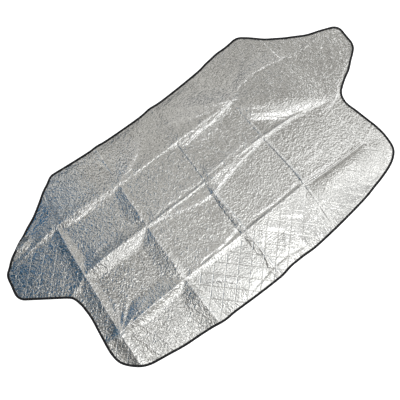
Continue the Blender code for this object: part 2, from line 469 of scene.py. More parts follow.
@dataclass(frozen=True)
class Crease:
    """A fold that stays as a ridge.

    Attributes:
        path: Places along its crest, each with the crest's height there and how far the ridge
            reaches to the left and to the right of the direction of travel, all in metres.
        power: How hollow the flanks are: 1 for straight ones, 2 for ones that level out.
        swell: How full the right flank is: 1 for a sharp crest, 2 for a rounded one with a steep foot.
        left_swell: The same for the left flank.
    """

    path: tuple[tuple[float, float, float, float, float], ...]
    power: float = 1.5
    swell: float = 1.0
    left_swell: float = 1.0

    def nearest(self, x: np.ndarray, y: np.ndarray) -> tuple[np.ndarray, np.ndarray]:
        """Finds the nearest place of the crest.

        Args:
            x: Places along X.
            y: Places along Y.

        Returns:
            Distance to the crest, positive on its left, and an array of the crest's height and
            reaches there.
        """
        best = np.full(x.shape, np.inf)
        signed = np.zeros(x.shape)
        form = np.zeros((*x.shape, len(self.path[0]) - 2))
        for start, end in zip(self.path[:-1], self.path[1:]):
            chord_x, chord_y = end[0] - start[0], end[1] - start[1]
            off_x, off_y = x - start[0], y - start[1]
            share = np.clip((off_x * chord_x + off_y * chord_y) / (chord_x ** 2 + chord_y ** 2), 0.0, 1.0)
            gap = np.hypot(off_x - share * chord_x, off_y - share * chord_y)
            side = np.where(chord_x * off_y - chord_y * off_x >= 0.0, 1.0, -1.0)
            closer = gap < best
            best = np.where(closer, gap, best)
            signed = np.where(closer, gap * side, signed)
            here = np.array(start[2:]) + share[..., None] * (np.array(end[2:]) - np.array(start[2:]))
            form = np.where(closer[..., None], here, form)
        return signed, form

    def ridge(self, x: np.ndarray, y: np.ndarray) -> np.ndarray:
        """Height of the ridge: crest height times (1 - (distance / reach)^swell)^power on each side."""
        signed, form = self.nearest(x, y)
        reach = np.where(signed >= 0.0, form[..., 1], form[..., 2])
        swell = np.where(signed >= 0.0, self.left_swell, self.swell)
        return form[..., 0] * np.clip(1.0 - (np.abs(signed) / reach) ** swell, 0.0, 1.0) ** self.power


@dataclass(frozen=True)
class Wrinkle:
    """A short sharp line pressed or pinched into the foil, which leans to one side.

    Attributes:
        path: Places along it, each with its height there, negative where it is pressed in.
        width: How far its steep side reaches, to the right of the direction of travel.
        lean: How many times further its gentle side reaches, to the left.
    """

    path: tuple[tuple[float, float, float], ...]
    width: float = 0.006
    lean: float = 3.5

    def relief(self, x: np.ndarray, y: np.ndarray) -> np.ndarray:
        """Height of the line: its height along the path times exp(-(distance / reach)^1.5)."""
        signed, form = Crease(self.path).nearest(x, y)
        reach = np.where(signed > 0.0, self.lean * self.width, self.width)
        return form[..., 0] * np.exp(-(np.abs(signed) / reach) ** 1.5)


# Creases across the cover, from left to right, each from the bonnet edge to the roof edge.
CROSS_CREASES = (
    Crease(((-0.691, -0.441, 0.004, 0.040, 0.030), (-0.687, -0.376, 0.005, 0.045, 0.030),
            (-0.681, -0.251, 0.006, 0.060, 0.030), (-0.672, -0.151, 0.005, 0.050, 0.030),
            (-0.662, -0.026, 0.005, 0.050, 0.032), (-0.654, 0.059, 0.006, 0.050, 0.040),
            (-0.644, 0.174, 0.006, 0.050, 0.040), (-0.630, 0.289, 0.003, 0.030, 0.020),
            (-0.610, 0.369, 0.0016, 0.020, 0.014), (-0.594, 0.454, 0.0012, 0.020, 0.014))),
    Crease(((-0.325, -0.481, 0.014, 0.090, 0.034), (-0.327, -0.331, 0.015, 0.090, 0.034),
            (-0.329, -0.246, 0.007, 0.060, 0.024), (-0.327, -0.190, 0.009, 0.080, 0.026),
            (-0.323, -0.026, 0.008, 0.070, 0.026), (-0.318, 0.043, 0.003, 0.022, 0.018),
            (-0.316, 0.090, 0.007, 0.055, 0.022), (-0.313, 0.174, 0.008, 0.060, 0.022),
            (-0.308, 0.240, 0.005, 0.040, 0.020), (-0.306, 0.269, 0.002, 0.020, 0.018),
            (-0.295, 0.379, 0.001, 0.015, 0.015), (-0.288, 0.479, 0.001, 0.015, 0.015)), 1.3),
    Crease(((0.004, -0.496, 0.0055, 0.026, 0.012), (0.004, -0.331, 0.0060, 0.026, 0.012),
            (0.003, -0.236, 0.0060, 0.026, 0.012), (0.002, -0.121, 0.0060, 0.026, 0.012),
            (0.000, -0.023, 0.0045, 0.018, 0.012), (0.004, 0.049, 0.0024, 0.010, 0.010),
            (0.010, 0.261, 0.0022, 0.010, 0.010), (0.015, 0.479, 0.0010, 0.009, 0.009)), 1.1),
    Crease(((0.313, -0.481, 0.0022, 0.009, 0.012), (0.324, -0.381, 0.0034, 0.010, 0.012),
            (0.335, -0.241, 0.0040, 0.010, 0.012), (0.339, -0.151, 0.0042, 0.010, 0.012),
            (0.328, 0.037, 0.0034, 0.010, 0.012), (0.325, 0.255, 0.0024, 0.010, 0.010),
            (0.304, 0.489, 0.0012, 0.009, 0.009))),
    Crease(((0.664, -0.441, 0.0010, 0.010, 0.010), (0.657, -0.251, 0.0016, 0.010, 0.010),
            (0.650, -0.076, 0.0014, 0.010, 0.010), (0.638, 0.049, 0.0018, 0.010, 0.010),
            (0.625, 0.264, 0.0018, 0.010, 0.010), (0.610, 0.419, 0.0008, 0.010, 0.010))),
)

# Creases along the cover, from the bonnet edge to the roof edge, each from left to right.
LONG_CREASES = (
    Crease(((-0.790, -0.248, 0.0010, 0.020, 0.020), (-0.685, -0.249, 0.0050, 0.040, 0.030),
            (-0.560, -0.241, 0.0135, 0.072, 0.045), (-0.370, -0.239, 0.0120, 0.066, 0.045),
            (-0.330, -0.238, 0.0060, 0.030, 0.024), (-0.250, -0.238, 0.0036, 0.012, 0.024),
            (-0.020, -0.238, 0.0036, 0.012, 0.030), (0.040, -0.238, 0.0050, 0.014, 0.120),
            (0.290, -0.234, 0.0050, 0.014, 0.110),
            (0.335, -0.234, 0.0032, 0.011, 0.030), (0.500, -0.251, 0.0026, 0.012, 0.010),
            (0.662, -0.251, 0.0012, 0.014, 0.010), (0.780, -0.211, 0.0008, 0.012, 0.010))),
    Crease(((-0.760, -0.001, 0.0010, 0.020, 0.020), (-0.652, 0.041, 0.0050, 0.040, 0.045),
            (-0.560, 0.045, 0.0130, 0.070, 0.062), (-0.420, 0.045, 0.0100, 0.062, 0.068),
            (-0.318, 0.043, 0.0040, 0.024, 0.020), (-0.125, 0.039, 0.0028, 0.009, 0.010),
            (0.003, 0.041, 0.0028, 0.009, 0.010), (0.150, 0.047, 0.0028, 0.009, 0.010),
            (0.328, 0.044, 0.0040, 0.014, 0.018), (0.475, 0.035, 0.0030, 0.010, 0.016),
            (0.645, 0.009, 0.0014, 0.010, 0.016), (0.745, -0.016, 0.0008, 0.010, 0.010))),
    Crease(((-0.940, 0.243, 0.0010, 0.020, 0.020), (-0.775, 0.271, 0.0030, 0.025, 0.025),
            (-0.628, 0.288, 0.0050, 0.100, 0.030), (-0.590, 0.286, 0.0080, 0.190, 0.046),
            (-0.500, 0.283, 0.0085, 0.200, 0.048),
            (-0.400, 0.274, 0.0085, 0.200, 0.048), (-0.306, 0.266, 0.0040, 0.100, 0.024),
            (-0.125, 0.264, 0.0024, 0.050, 0.010), (-0.040, 0.263, 0.0030, 0.100, 0.014),
            (0.040, 0.263, 0.0095, 0.210, 0.048), (0.180, 0.261, 0.0095, 0.210, 0.048),
            (0.290, 0.257, 0.0080, 0.180, 0.045),
            (0.325, 0.255, 0.0030, 0.050, 0.014), (0.500, 0.275, 0.0035, 0.030, 0.014),
            (0.625, 0.267, 0.0014, 0.014, 0.012), (0.750, 0.255, 0.0012, 0.010, 0.010),
            (0.945, 0.261, 0.0008, 0.010, 0.010))),
)

# Rounded bulges between the creases: the slanting one, the one below the bonnet-side crease, the
# one on the left flap and the one beside the middle crossing.
SOFT_FOLDS = (
    Crease(((0.325, 0.249, 0.003, 0.080, 0.045), (0.387, 0.212, 0.012, 0.200, 0.090),
            (0.464, 0.155, 0.015, 0.220, 0.090), (0.545, 0.105, 0.014, 0.200, 0.078),
            (0.610, 0.062, 0.010, 0.150, 0.062), (0.675, 0.018, 0.003, 0.080, 0.036)), 1.1, 2.0),
    Crease(((0.335, -0.316, 0.003, 0.066, 0.070), (0.400, -0.322, 0.0058, 0.076, 0.110),
            (0.580, -0.322, 0.0058, 0.074, 0.110), (0.665, -0.306, 0.002, 0.050, 0.060)), 1.1, 2.0, 2.0),
    Crease(((-0.930, 0.284, 0.001, 0.020, 0.030), (-0.850, 0.304, 0.009, 0.040, 0.040),
            (-0.790, 0.309, 0.009, 0.040, 0.040), (-0.740, 0.304, 0.001, 0.020, 0.030)), 1.2),
    Crease(((0.004, 0.034, 0.002, 0.040, 0.020), (0.040, 0.034, 0.008, 0.100, 0.042),
            (0.090, 0.036, 0.006, 0.090, 0.036), (0.180, 0.039, 0.002, 0.040, 0.020)), 1.2),
)

# Single fold lines: along the middle long crease, on the slanting fold, by the roof edge, along the
# bonnet-side crease, pressed in beside the cross creases, below the bonnet-side crease, and on the
# panels left of the second crease.
FOLD_WRINKLES = (
    Wrinkle(((0.000, -0.021, 0.0030), (0.088, 0.002, 0.0028), (0.200, 0.021, 0.0022),
             (0.325, 0.035, 0.0014))),
    Wrinkle(((-0.300, 0.036, 0.0016), (-0.225, 0.024, 0.0020), (-0.150, 0.001, 0.0022),
             (-0.075, -0.018, 0.0022), (0.000, -0.023, 0.0026)), 0.005),
    Wrinkle(((-0.290, 0.056, 0.0016), (-0.200, 0.066, 0.0020), (-0.110, 0.059, 0.0008))),
    Wrinkle(((-0.100, 0.068, 0.0016), (-0.040, 0.055, 0.0018), (0.010, 0.059, 0.0008))),
    Wrinkle(((0.030, 0.058, 0.0012), (0.110, 0.063, 0.0024), (0.200, 0.073, 0.0020), (0.290, 0.061, 0.0010))),
    Wrinkle(((0.120, 0.052, 0.0010), (0.200, 0.056, 0.0020), (0.310, 0.050, 0.0016))),
    Wrinkle(((0.335, 0.143, 0.0020), (0.412, 0.087, 0.0024), (0.475, 0.037, 0.0020)), 0.005),
    Wrinkle(((0.350, 0.158, 0.0014), (0.425, 0.103, 0.0016), (0.490, 0.049, 0.0012)), 0.005),
    Wrinkle(((0.345, 0.196, 0.0016), (0.400, 0.166, 0.0018), (0.450, 0.126, 0.0006))),
    Wrinkle(((0.480, 0.066, 0.0016), (0.560, 0.031, 0.0022), (0.650, 0.001, 0.0018))),
    Wrinkle(((-0.300, 0.273, 0.0014), (-0.215, 0.304, 0.0042), (-0.140, 0.344, 0.0030)), 0.008, 6.0),
    Wrinkle(((0.150, 0.349, 0.0030), (0.240, 0.301, 0.0044), (0.315, 0.265, 0.0034)), 0.008, 6.0),
    Wrinkle(((0.060, 0.335, 0.0016), (0.160, 0.300, 0.0034), (0.250, 0.272, 0.0020)), 0.008, 6.0),
    Wrinkle(((0.070, 0.206, 0.0010), (0.110, 0.199, 0.0022), (0.150, 0.206, 0.0010))),
    Wrinkle(((0.150, 0.208, 0.0010), (0.180, 0.199, 0.0020), (0.210, 0.206, 0.0008))),
    Wrinkle(((0.340, 0.279, 0.0020), (0.400, 0.297, 0.0038), (0.470, 0.301, 0.0020)), 0.008, 6.0),
    Wrinkle(((0.480, 0.303, 0.0020), (0.550, 0.299, 0.0038), (0.630, 0.278, 0.0024)), 0.008, 6.0),
    Wrinkle(((-0.280, -0.231, 0.0020), (-0.200, -0.219, 0.0024), (-0.110, -0.226, 0.0014))),
    Wrinkle(((-0.200, -0.241, 0.0014), (-0.120, -0.223, 0.0024), (-0.020, -0.206, 0.0016))),
    Wrinkle(((0.090, -0.211, 0.0010), (0.180, -0.219, 0.0022), (0.290, -0.213, 0.0014))),
    Wrinkle(((0.345, -0.156, 0.0006), (0.420, -0.171, 0.0012), (0.500, -0.161, 0.0006))),
    Wrinkle(((0.350, -0.116, 0.0006), (0.430, -0.131, 0.0010), (0.500, -0.126, 0.0006))),
    Wrinkle(((0.335, -0.243, -0.0022), (0.500, -0.258, -0.0024), (0.660, -0.259, -0.0014)), 0.006, 1.0),
    Wrinkle(((0.329, -0.241, -0.0018), (0.333, -0.151, -0.0020), (0.322, 0.037, -0.0018)), 0.005, 1.0),
    Wrinkle(((0.322, 0.047, -0.0012), (0.319, 0.155, -0.0010), (0.318, 0.245, -0.0008)), 0.005, 1.0),
    Wrinkle(((0.309, -0.461, -0.0010), (0.318, -0.381, -0.0018), (0.328, -0.251, -0.0018)), 0.005, 1.0),
    Wrinkle(((-0.002, 0.051, -0.0016), (0.002, 0.161, -0.0018), (0.005, 0.251, -0.0016)), 0.005, 1.0),
    Wrinkle(((0.345, -0.226, 0.0022), (0.430, -0.231, 0.0024), (0.520, -0.241, 0.0010))),
    Wrinkle(((-0.200, -0.470, -0.0010), (-0.075, -0.445, -0.0014), (0.000, -0.432, -0.0014)), 0.005, 1.5),
    Wrinkle(((0.000, -0.432, -0.0014), (0.075, -0.432, -0.0014), (0.190, -0.451, -0.0010)), 0.005, 1.5),
    Wrinkle(((-0.025, -0.431, -0.0014), (-0.024, -0.241, -0.0018), (-0.020, -0.051, -0.0014)), 0.005, 1.0),
    Wrinkle(((-0.045, -0.456, -0.0010), (-0.014, -0.391, -0.0014), (-0.002, -0.321, -0.0010)), 0.005, 1.0),
    Wrinkle(((0.020, 0.248, 0.0010), (0.070, 0.239, 0.0022), (0.130, 0.243, 0.0012)), 0.005, 1.5),
    Wrinkle(((0.110, 0.250, 0.0010), (0.180, 0.237, 0.0022), (0.260, 0.249, 0.0012)), 0.005, 1.5),
    Wrinkle(((0.020, 0.234, 0.0010), (0.050, 0.227, 0.0018), (0.100, 0.231, 0.0008)), 0.005, 1.5),
    Wrinkle(((0.169, -0.301, 0.0008), (0.168, -0.371, 0.0014), (0.166, -0.461, 0.0014)), 0.005),
    Wrinkle(((0.020, -0.331, 0.0008), (0.080, -0.281, 0.0018), (0.140, -0.336, 0.0014),
             (0.090, -0.411, 0.0008))),
    Wrinkle(((0.180, -0.291, 0.0008), (0.240, -0.336, 0.0018), (0.290, -0.301, 0.0008))),
    Wrinkle(((0.200, -0.401, 0.0008), (0.260, -0.371, 0.0016), (0.320, -0.401, 0.0008))),
    Wrinkle(((-0.280, -0.291, 0.0008), (-0.220, -0.331, 0.0016), (-0.160, -0.391, 0.0008))),
    Wrinkle(((-0.681, -0.251, 0.0030), (-0.630, -0.206, 0.0028), (-0.580, -0.166, 0.0012))),
    Wrinkle(((-0.675, -0.253, 0.0028), (-0.600, -0.226, 0.0024), (-0.520, -0.213, 0.0010))),
    Wrinkle(((-0.681, -0.251, 0.0028), (-0.650, -0.191, 0.0024), (-0.620, -0.131, 0.0010))),
    Wrinkle(((-0.600, -0.421, 0.0010), (-0.615, -0.361, 0.0022), (-0.640, -0.291, 0.0010)), 0.006, 1.5),
    Wrinkle(((-0.530, -0.391, 0.0010), (-0.570, -0.331, 0.0022), (-0.590, -0.271, 0.0010)), 0.006, 1.5),
    Wrinkle(((-0.470, -0.401, 0.0010), (-0.505, -0.341, 0.0020), (-0.520, -0.281, 0.0010)), 0.006, 1.5),
    Wrinkle(((-0.425, -0.371, 0.0008), (-0.450, -0.321, 0.0018), (-0.460, -0.271, 0.0010)), 0.006, 1.5),
    Wrinkle(((-0.520, -0.441, 0.0008), (-0.545, -0.401, 0.0018), (-0.560, -0.361, 0.0008)), 0.006, 1.5),
    Wrinkle(((-0.640, 0.056, 0.0010), (-0.560, 0.091, 0.0022), (-0.480, 0.096, 0.0010))),
    Wrinkle(((-0.600, 0.266, 0.0010), (-0.530, 0.256, 0.0022), (-0.450, 0.261, 0.0010))),
    Wrinkle(((-0.560, 0.016, 0.0008), (-0.480, 0.006, 0.0014), (-0.390, 0.011, 0.0008))),
    Wrinkle(((0.660, -0.031, 0.0024), (0.730, -0.013, 0.0016))),
)


@dataclass(frozen=True)
class Patch:
    """A part of the sheet with soft borders where the film's pattern is stronger or weaker.

    Attributes:
        gain: What it adds to the pattern's strength.
        across: Its borders along X, each as the place where it starts and where it is complete.
        along: Its borders along Y, given in the same way.
    """

    gain: float
    across: tuple[tuple[float, float], ...]
    along: tuple[tuple[float, float], ...]

    def strength(self, x: np.ndarray, y: np.ndarray) -> np.ndarray:
        """Gain times a smooth step at each of its borders."""
        total = np.full(x.shape, self.gain)
        for start, end in self.across:
            total = total * smoothstep(x, start, end)
        for start, end in self.along:
            total = total * smoothstep(y, start, end)
        return total


# Where the crinkle is weaker: by the roof edge, below the bonnet-side crease, on the upper left
# flap and left of the second crease. It is stronger between the second and the fourth crease.
CRINKLE_PATCHES = (
    Patch(-0.40, ((0.60, 0.10),), ((0.28, 0.34),)),
    Patch(-0.72, ((-0.36, -0.30),), ((-0.24, -0.28),)),
    Patch(-0.70, ((-0.58, -0.64),), ((0.30, 0.34),)),
    Patch(-0.25, ((-0.34, -0.40),), ((0.02, -0.04), (-0.36, -0.30))),
    Patch(0.18, ((-0.32, -0.26), (0.36, 0.30)), ((-0.24, -0.18), (0.27, 0.20))),
    Patch(0.27, ((-0.32, -0.26), (0.36, 0.30)), ((-0.24, -0.18), (0.27, 0.20), (0.02, 0.08))),
)

# Where the welds show: below the bonnet-side crease, fading out to the right, and on the left flap.
WELD_PATCHES = (
    Patch(0.15, ((-0.36, -0.30),), ((-0.23, -0.27),)),
    Patch(0.85, ((-0.36, -0.30), (0.34, 0.05)), ((-0.23, -0.27),)),
    Patch(0.60, ((-0.64, -0.70),), ((0.32, 0.26),)),
)


@dataclass(frozen=True)
class Relief:
    """Every rise and fall of the foil, from the big ridges down to the crinkle grain.

    Attributes:
        creases: Every ridge.
        wrinkles: Every single fold line.
        crumple_pitch: Size of the larger crumpled facets.
        crumple_height: Their height.
        crumple_bend: How far their borders are bent, as a share of their size.
        crumple_drift: Strength of all facets.
        grain_pitch: Size of the smaller facets.
        grain_height: Their height.
        wave_pitch: Size of the sheet's soft waves.
        wave_height: Their height.
        crinkle_drift: Strength of the film's crinkle outside its patches.
        crinkle_by_height: How much it grows for each metre of a ridge's height.
        crinkle_most: Its greatest strength.
        weld_drift: How deep the welds show outside their patches.
        weld_most: The deepest they show.
        crest_width: How far from a sharp crest the film is painted lighter, as a painted highlight and partly
            as scuffing.
        highlight_crest_height: Height of a ridge whose crest gets the full painted highlight.
        highlight_wrinkle_height: Height of a fold line that gets the full painted highlight.
    """

    creases: tuple[Crease, ...] = CROSS_CREASES + LONG_CREASES + SOFT_FOLDS
    wrinkles: tuple[Wrinkle, ...] = FOLD_WRINKLES
    crumple_pitch: float = 0.026
    crumple_height: float = 0.0003
    crumple_bend: float = 0.35
    crumple_drift: Drift = Drift(0.75, 0.5, 0.16, 13)
    grain_pitch: float = 0.0125
    grain_height: float = 0.0004
    wave_pitch: float = 0.110
    wave_height: float = 0.0010
    crinkle_drift: Drift = Drift(1.0, 0.2, 0.07, 17)
    crinkle_by_height: float = 15.0
    crinkle_most: float = 1.5
    weld_drift: Drift = Drift(0.15, 0.25, 0.15, 18)
    weld_most: float = 1.2
    crest_width: float = 0.006
    highlight_crest_height: float = 0.006
    highlight_wrinkle_height: float = 0.002

    def base(self, x: np.ndarray, y: np.ndarray) -> np.ndarray:
        """Height of the underside: the ridges joined as the fourth root of the sum of fourth powers."""
        total = np.zeros(x.shape)
        for crease in self.creases:
            total += crease.ridge(x, y) ** 4
        return total ** 0.25

    def fine(self, x: np.ndarray, y: np.ndarray) -> np.ndarray:
        """Waves, crumpled facets of two sizes, and the lines pinched in by folding, added up."""
        bend = self.crumple_bend * self.crumple_pitch
        bent_x = x + bend * noise(x, y, self.crumple_pitch, 11)
        bent_y = y + bend * noise(x, y, self.crumple_pitch, 12)
        strength = self.crumple_drift.at(x, y)
        total = self.wave_height * noise(x, y, self.wave_pitch, 14)
        total += self.crumple_height * strength * facets(bent_x, bent_y, self.crumple_pitch, 15)
        total += self.grain_height * strength * facets(bent_y, bent_x, self.grain_pitch, 16)
        for wrinkle in self.wrinkles:
            total += wrinkle.relief(x, y)
        return total

    def crinkled(self, x: np.ndarray, y: np.ndarray) -> np.ndarray:
        """How strongly the film is crinkled: its drift, plus more on the folds, plus its patches."""
        total = self.crinkle_drift.at(x, y) + self.crinkle_by_height * self.base(x, y)
        for patch in CRINKLE_PATCHES:
            total += patch.strength(x, y)
        return np.clip(total, 0.0, self.crinkle_most)

    def quilted(self, x: np.ndarray, y: np.ndarray) -> np.ndarray:
        """How deep the welds show: their drift, plus their patches."""
        total = self.weld_drift.at(x, y)
        for patch in WELD_PATCHES:
            total += patch.strength(x, y)
        return np.clip(total, 0.0, self.weld_most)

    def crest(self, x: np.ndarray, y: np.ndarray) -> np.ndarray:
        """How near a place is to a sharp crest, from 0 to 1, for the painted highlight along crests and fold
        lines, which partly stands for the scuffing that folding leaves there.

        A crest counts as exp(-(distance / width)^2) and a fold line by its height. Rounded ridges
        are left out.
        """
        near = np.zeros(x.shape)
        for crease in self.creases:
            if crease.swell == 1.0:
                signed, form = crease.nearest(x, y)
                fade = np.exp(-(signed / self.crest_width) ** 2)
                near = np.maximum(near, fade * smoothstep(form[..., 0], 0.0, self.highlight_crest_height))
        for wrinkle in self.wrinkles:
            near = np.maximum(near, wrinkle.relief(x, y) / self.highlight_wrinkle_height)
        return np.clip(near, 0.0, 1.0)


def grid_quads(columns: int, rows: int, first: int = 0) -> np.ndarray:
    """Faces of a grid of points that is stored row by row.

    Args:
        columns: Number of cells along a row.
        rows: Number of cells up a column.
        first: Index of the grid's first point.

    Returns:
        An array of four indices for each cell, anticlockwise.
    """
    corner = first + np.arange(rows)[:, None] * (columns + 1) + np.arange(columns)[None, :]
    cells = np.stack([corner, corner + 1, corner + columns + 2, corner + columns + 1], axis=-1)
    return cells.reshape(-1, 4)


def grid_border(columns: int, rows: int, first: int = 0) -> np.ndarray:
    """Indices of a grid's border, anticlockwise from its first point."""
    width = columns + 1
    bottom = np.arange(columns)
    right = columns + width * np.arange(rows)
    top = width * rows + columns - np.arange(columns)
    left = width * (rows - np.arange(rows))
    return first + np.concatenate([bottom, right, top, left])


def new_piece(name: str, points: np.ndarray, faces: list[np.ndarray],
              sharp_degrees: float) -> bpy.types.Object:
    """Puts arrays into a mesh and the mesh into the scene.

    Args:
        name: The piece's name.
        points: Places of its vertices, in metres.
        faces: Arrays of faces, each of one number of corners.
        sharp_degrees: Edges bent by more than this are drawn sharp.

    Returns:
        The new object, at the origin.
    """
    mesh = bpy.data.meshes.new(name)
    corners = np.concatenate([group.ravel() for group in faces]).astype(np.int32)
    sizes = np.concatenate([np.full(len(group), group.shape[1]) for group in faces]).astype(np.int32)
    starts = np.concatenate([[0], np.cumsum(sizes)[:-1]]).astype(np.int32)
    mesh.vertices.add(len(points))
    mesh.vertices.foreach_set("co", points.astype(np.float32).ravel())
    mesh.loops.add(len(corners))
    mesh.loops.foreach_set("vertex_index", corners)
    mesh.polygons.add(len(sizes))
    mesh.polygons.foreach_set("loop_start", starts)
    mesh.update(calc_edges=True)
    mesh.validate()
    mesh.shade_smooth()
    mesh.set_sharp_from_angle(angle=math.radians(sharp_degrees))
    piece = bpy.data.objects.new(name, mesh)
    bpy.context.scene.collection.objects.link(piece)
    return piece


def set_attribute(piece: bpy.types.Object, name: str, values: np.ndarray) -> None:
    """Stores one number for each vertex of a piece, for its material to read."""
    layer = piece.data.attributes.new(name, "FLOAT", "POINT")
    layer.data.foreach_set("value", values.astype(np.float32).ravel())


def add_node(tree: bpy.types.NodeTree, kind: str, links: dict | None = None, **settings) -> bpy.types.Node:
    """Adds a shader node with its settings and links.

    Args:
        tree: The material's node tree.
        kind: Blender's name for the node's type.
        links: Input names or numbers, each with a value or with the output socket that feeds it.
        **settings: Properties of the node, such as its operation.

    Returns:
        The new node.
    """
    node = tree.nodes.new(kind)
    for key, value in settings.items():
        setattr(node, key, value)
    for key, value in (links or {}).items():
        if isinstance(value, bpy.types.NodeSocket):
            tree.links.new(value, node.inputs[key])
        else:
            node.inputs[key].default_value = value
    return node


def new_material(name: str) -> tuple[bpy.types.Material, bpy.types.NodeTree]:
    """An empty material with its node tree."""
    finish = bpy.data.materials.new(name)
    finish.use_nodes = True
    finish.node_tree.nodes.clear()
    return finish, finish.node_tree


@dataclass(frozen=True)
class EmbossedFoil:
    """Aluminium film laminated to padding and welded in diamonds.

    The film is a satin metal: it mirrors the room softly. Welds, short strokes, creped lines, a
    small crinkle and flecks are bumps of its surface, one over another. Each pattern has the size
    of its cells and its depth in millimetres. The flecks of real film are finer, and are drawn as
    coarse as they need to show.

    Attributes:
        roughness: Roughness of the film.
        glossier: How much less rough it is in its glossiest clouds.
        duller: How much rougher it is in its dullest clouds.
        cloud_mm: Size of the clouds.
        cloud_range: Values of their noise in the glossiest and in the dullest clouds.
        diamond_mm: Distance between parallel welds.
        weld_mm: How far beside a weld the film has risen to its full height.
        weld_depth_mm: Depth of a weld.
        weld_turns: Angles of the two sets of welds, in degrees from the cover's length.
        drift_mm: Size of the cells of the noise that bends the finer patterns.
        drift_share: How much of that noise bends them.
        crepe_mm: Distance between creped lines.
        crepe_depth_mm: Their depth.
        crinkle_mm: Size of the crinkle's cells.
        crinkle_depth_mm: Its depth.
        fleck_mm: Size of the flecks.
        fleck_depth_mm: Their depth.
        stroke_length_mm: Length of the strokes.
        stroke_apart_mm: Distance between them.
        stroke_share: How much of that distance a stroke takes up.
        stroke_depth_mm: Their depth.
        stroke_patch_mm: Size of the patches that break the strokes.
        stroke_range: Values of the patches' noise between which the strokes fade in.
        stroke_turns: Angles of the sets of strokes, in degrees.
    """

    roughness: float = 0.11
    glossier: float = 0.03
    duller: float = 0.05
    cloud_mm: float = 111.11
    cloud_range: tuple[float, float] = (0.3, 0.7)
    diamond_mm: float = 52.0
    weld_mm: float = 3.0
    weld_depth_mm: float = 0.55
    weld_turns: tuple[float, float] = (45.0, -45.0)
    drift_mm: float = 16.667
    drift_share: float = 0.02
    crepe_mm: float = 34.0
    crepe_depth_mm: float = 0.32
    crinkle_mm: float = 9.0
    crinkle_depth_mm: float = 0.90
    fleck_mm: float = 6.5
    fleck_depth_mm: float = 0.6
    stroke_length_mm: float = 60.0
    stroke_apart_mm: float = 24.0
    stroke_share: float = 0.09
    stroke_depth_mm: float = 0.5
    stroke_patch_mm: float = 29.412
    stroke_range: tuple[float, float] = (0.48, 0.66)
    stroke_turns: tuple[float, ...] = (8.0, -32.0, 62.0)

    def weld(self, tree: bpy.types.NodeTree, place: bpy.types.NodeSocket,
             turn: float) -> bpy.types.NodeSocket:
        """Height of one set of parallel welds: 0 on a line, rising to 1 by a smooth step beside it."""
        turned = add_node(tree, "ShaderNodeVectorRotate", {"Vector": place, "Angle": math.radians(turn)},
                          rotation_type="Z_AXIS").outputs[0]
        across = add_node(tree, "ShaderNodeSeparateXYZ", {0: turned}).outputs["X"]
        gap = add_node(tree, "ShaderNodeMath", {0: across, 1: self.diamond_mm / 2000.0},
                       operation="PINGPONG").outputs[0]
        return add_node(tree, "ShaderNodeMapRange", {"Value": gap, "From Max": self.weld_mm / 1000.0},
                        interpolation_type="SMOOTHSTEP").outputs[0]

    def welds(self, tree: bpy.types.NodeTree, place: bpy.types.NodeSocket) -> bpy.types.NodeSocket:
        """Height of both sets of welds, as deep as the sheet's own numbers say."""
        first, second = (self.weld(tree, place, turn) for turn in self.weld_turns)
        crossed = add_node(tree, "ShaderNodeMath", {0: first, 1: second}, operation="MULTIPLY").outputs[0]
        quilted = add_node(tree, "ShaderNodeAttribute", attribute_name="quilted").outputs["Fac"]
        return add_node(tree, "ShaderNodeMath", {0: crossed, 1: quilted}, operation="MULTIPLY").outputs[0]

    def stroke(self, tree: bpy.types.NodeTree, place: bpy.types.NodeSocket,
               turn: float) -> bpy.types.NodeSocket:
        """Height of short sharp wrinkles that run about one way.

        They are the places where a stretched noise is near its middle value, kept only where a
        second noise is high, so that each line breaks into strokes.

        Args:
            tree: The material's node tree.
            place: The place on the sheet.
            turn: The strokes' angle, in degrees.

        Returns:
            From 0 beside a stroke to 1 on it.
        """
        turned = add_node(tree, "ShaderNodeVectorRotate", {"Vector": place, "Angle": math.radians(turn)},
                          rotation_type="Z_AXIS").outputs[0]
        squeeze = (1000.0 / self.stroke_length_mm, 1000.0 / self.stroke_apart_mm, 0.0)
        stretched = add_node(tree, "ShaderNodeVectorMath", {0: turned, 1: squeeze},
                             operation="MULTIPLY").outputs[0]
        level = add_node(tree, "ShaderNodeTexNoise",
                         {"Vector": stretched, "Scale": 1.0, "Detail": 0.0}).outputs["Fac"]
        off = add_node(tree, "ShaderNodeMath", {0: level, 1: 0.5}, operation="SUBTRACT").outputs[0]
        gap = add_node(tree, "ShaderNodeMath", {0: off}, operation="ABSOLUTE").outputs[0]
        line = add_node(tree, "ShaderNodeMapRange",
                        {"Value": gap, "From Max": self.stroke_share, "To Min": 1.0, "To Max": 0.0},
                        interpolation_type="SMOOTHSTEP").outputs[0]
        part = add_node(tree, "ShaderNodeTexNoise",
                        {"Vector": turned, "Scale": 1000.0 / self.stroke_patch_mm,
                         "Detail": 0.0}).outputs["Fac"]
        kept = add_node(tree, "ShaderNodeMapRange",
                        {"Value": part, "From Min": self.stroke_range[0],
                         "From Max": self.stroke_range[1]},
                        interpolation_type="SMOOTHSTEP").outputs[0]
        return add_node(tree, "ShaderNodeMath", {0: line, 1: kept}, operation="MULTIPLY").outputs[0]

    def strokes(self, tree: bpy.types.NodeTree, place: bpy.types.NodeSocket) -> bpy.types.NodeSocket:
        """Height of all sets of strokes: the highest of them in each place."""
        lines = self.stroke(tree, place, self.stroke_turns[0])
        for turn in self.stroke_turns[1:]:
            lines = add_node(tree, "ShaderNodeMath", {0: lines, 1: self.stroke(tree, place, turn)},
                             operation="MAXIMUM").outputs[0]
        return lines

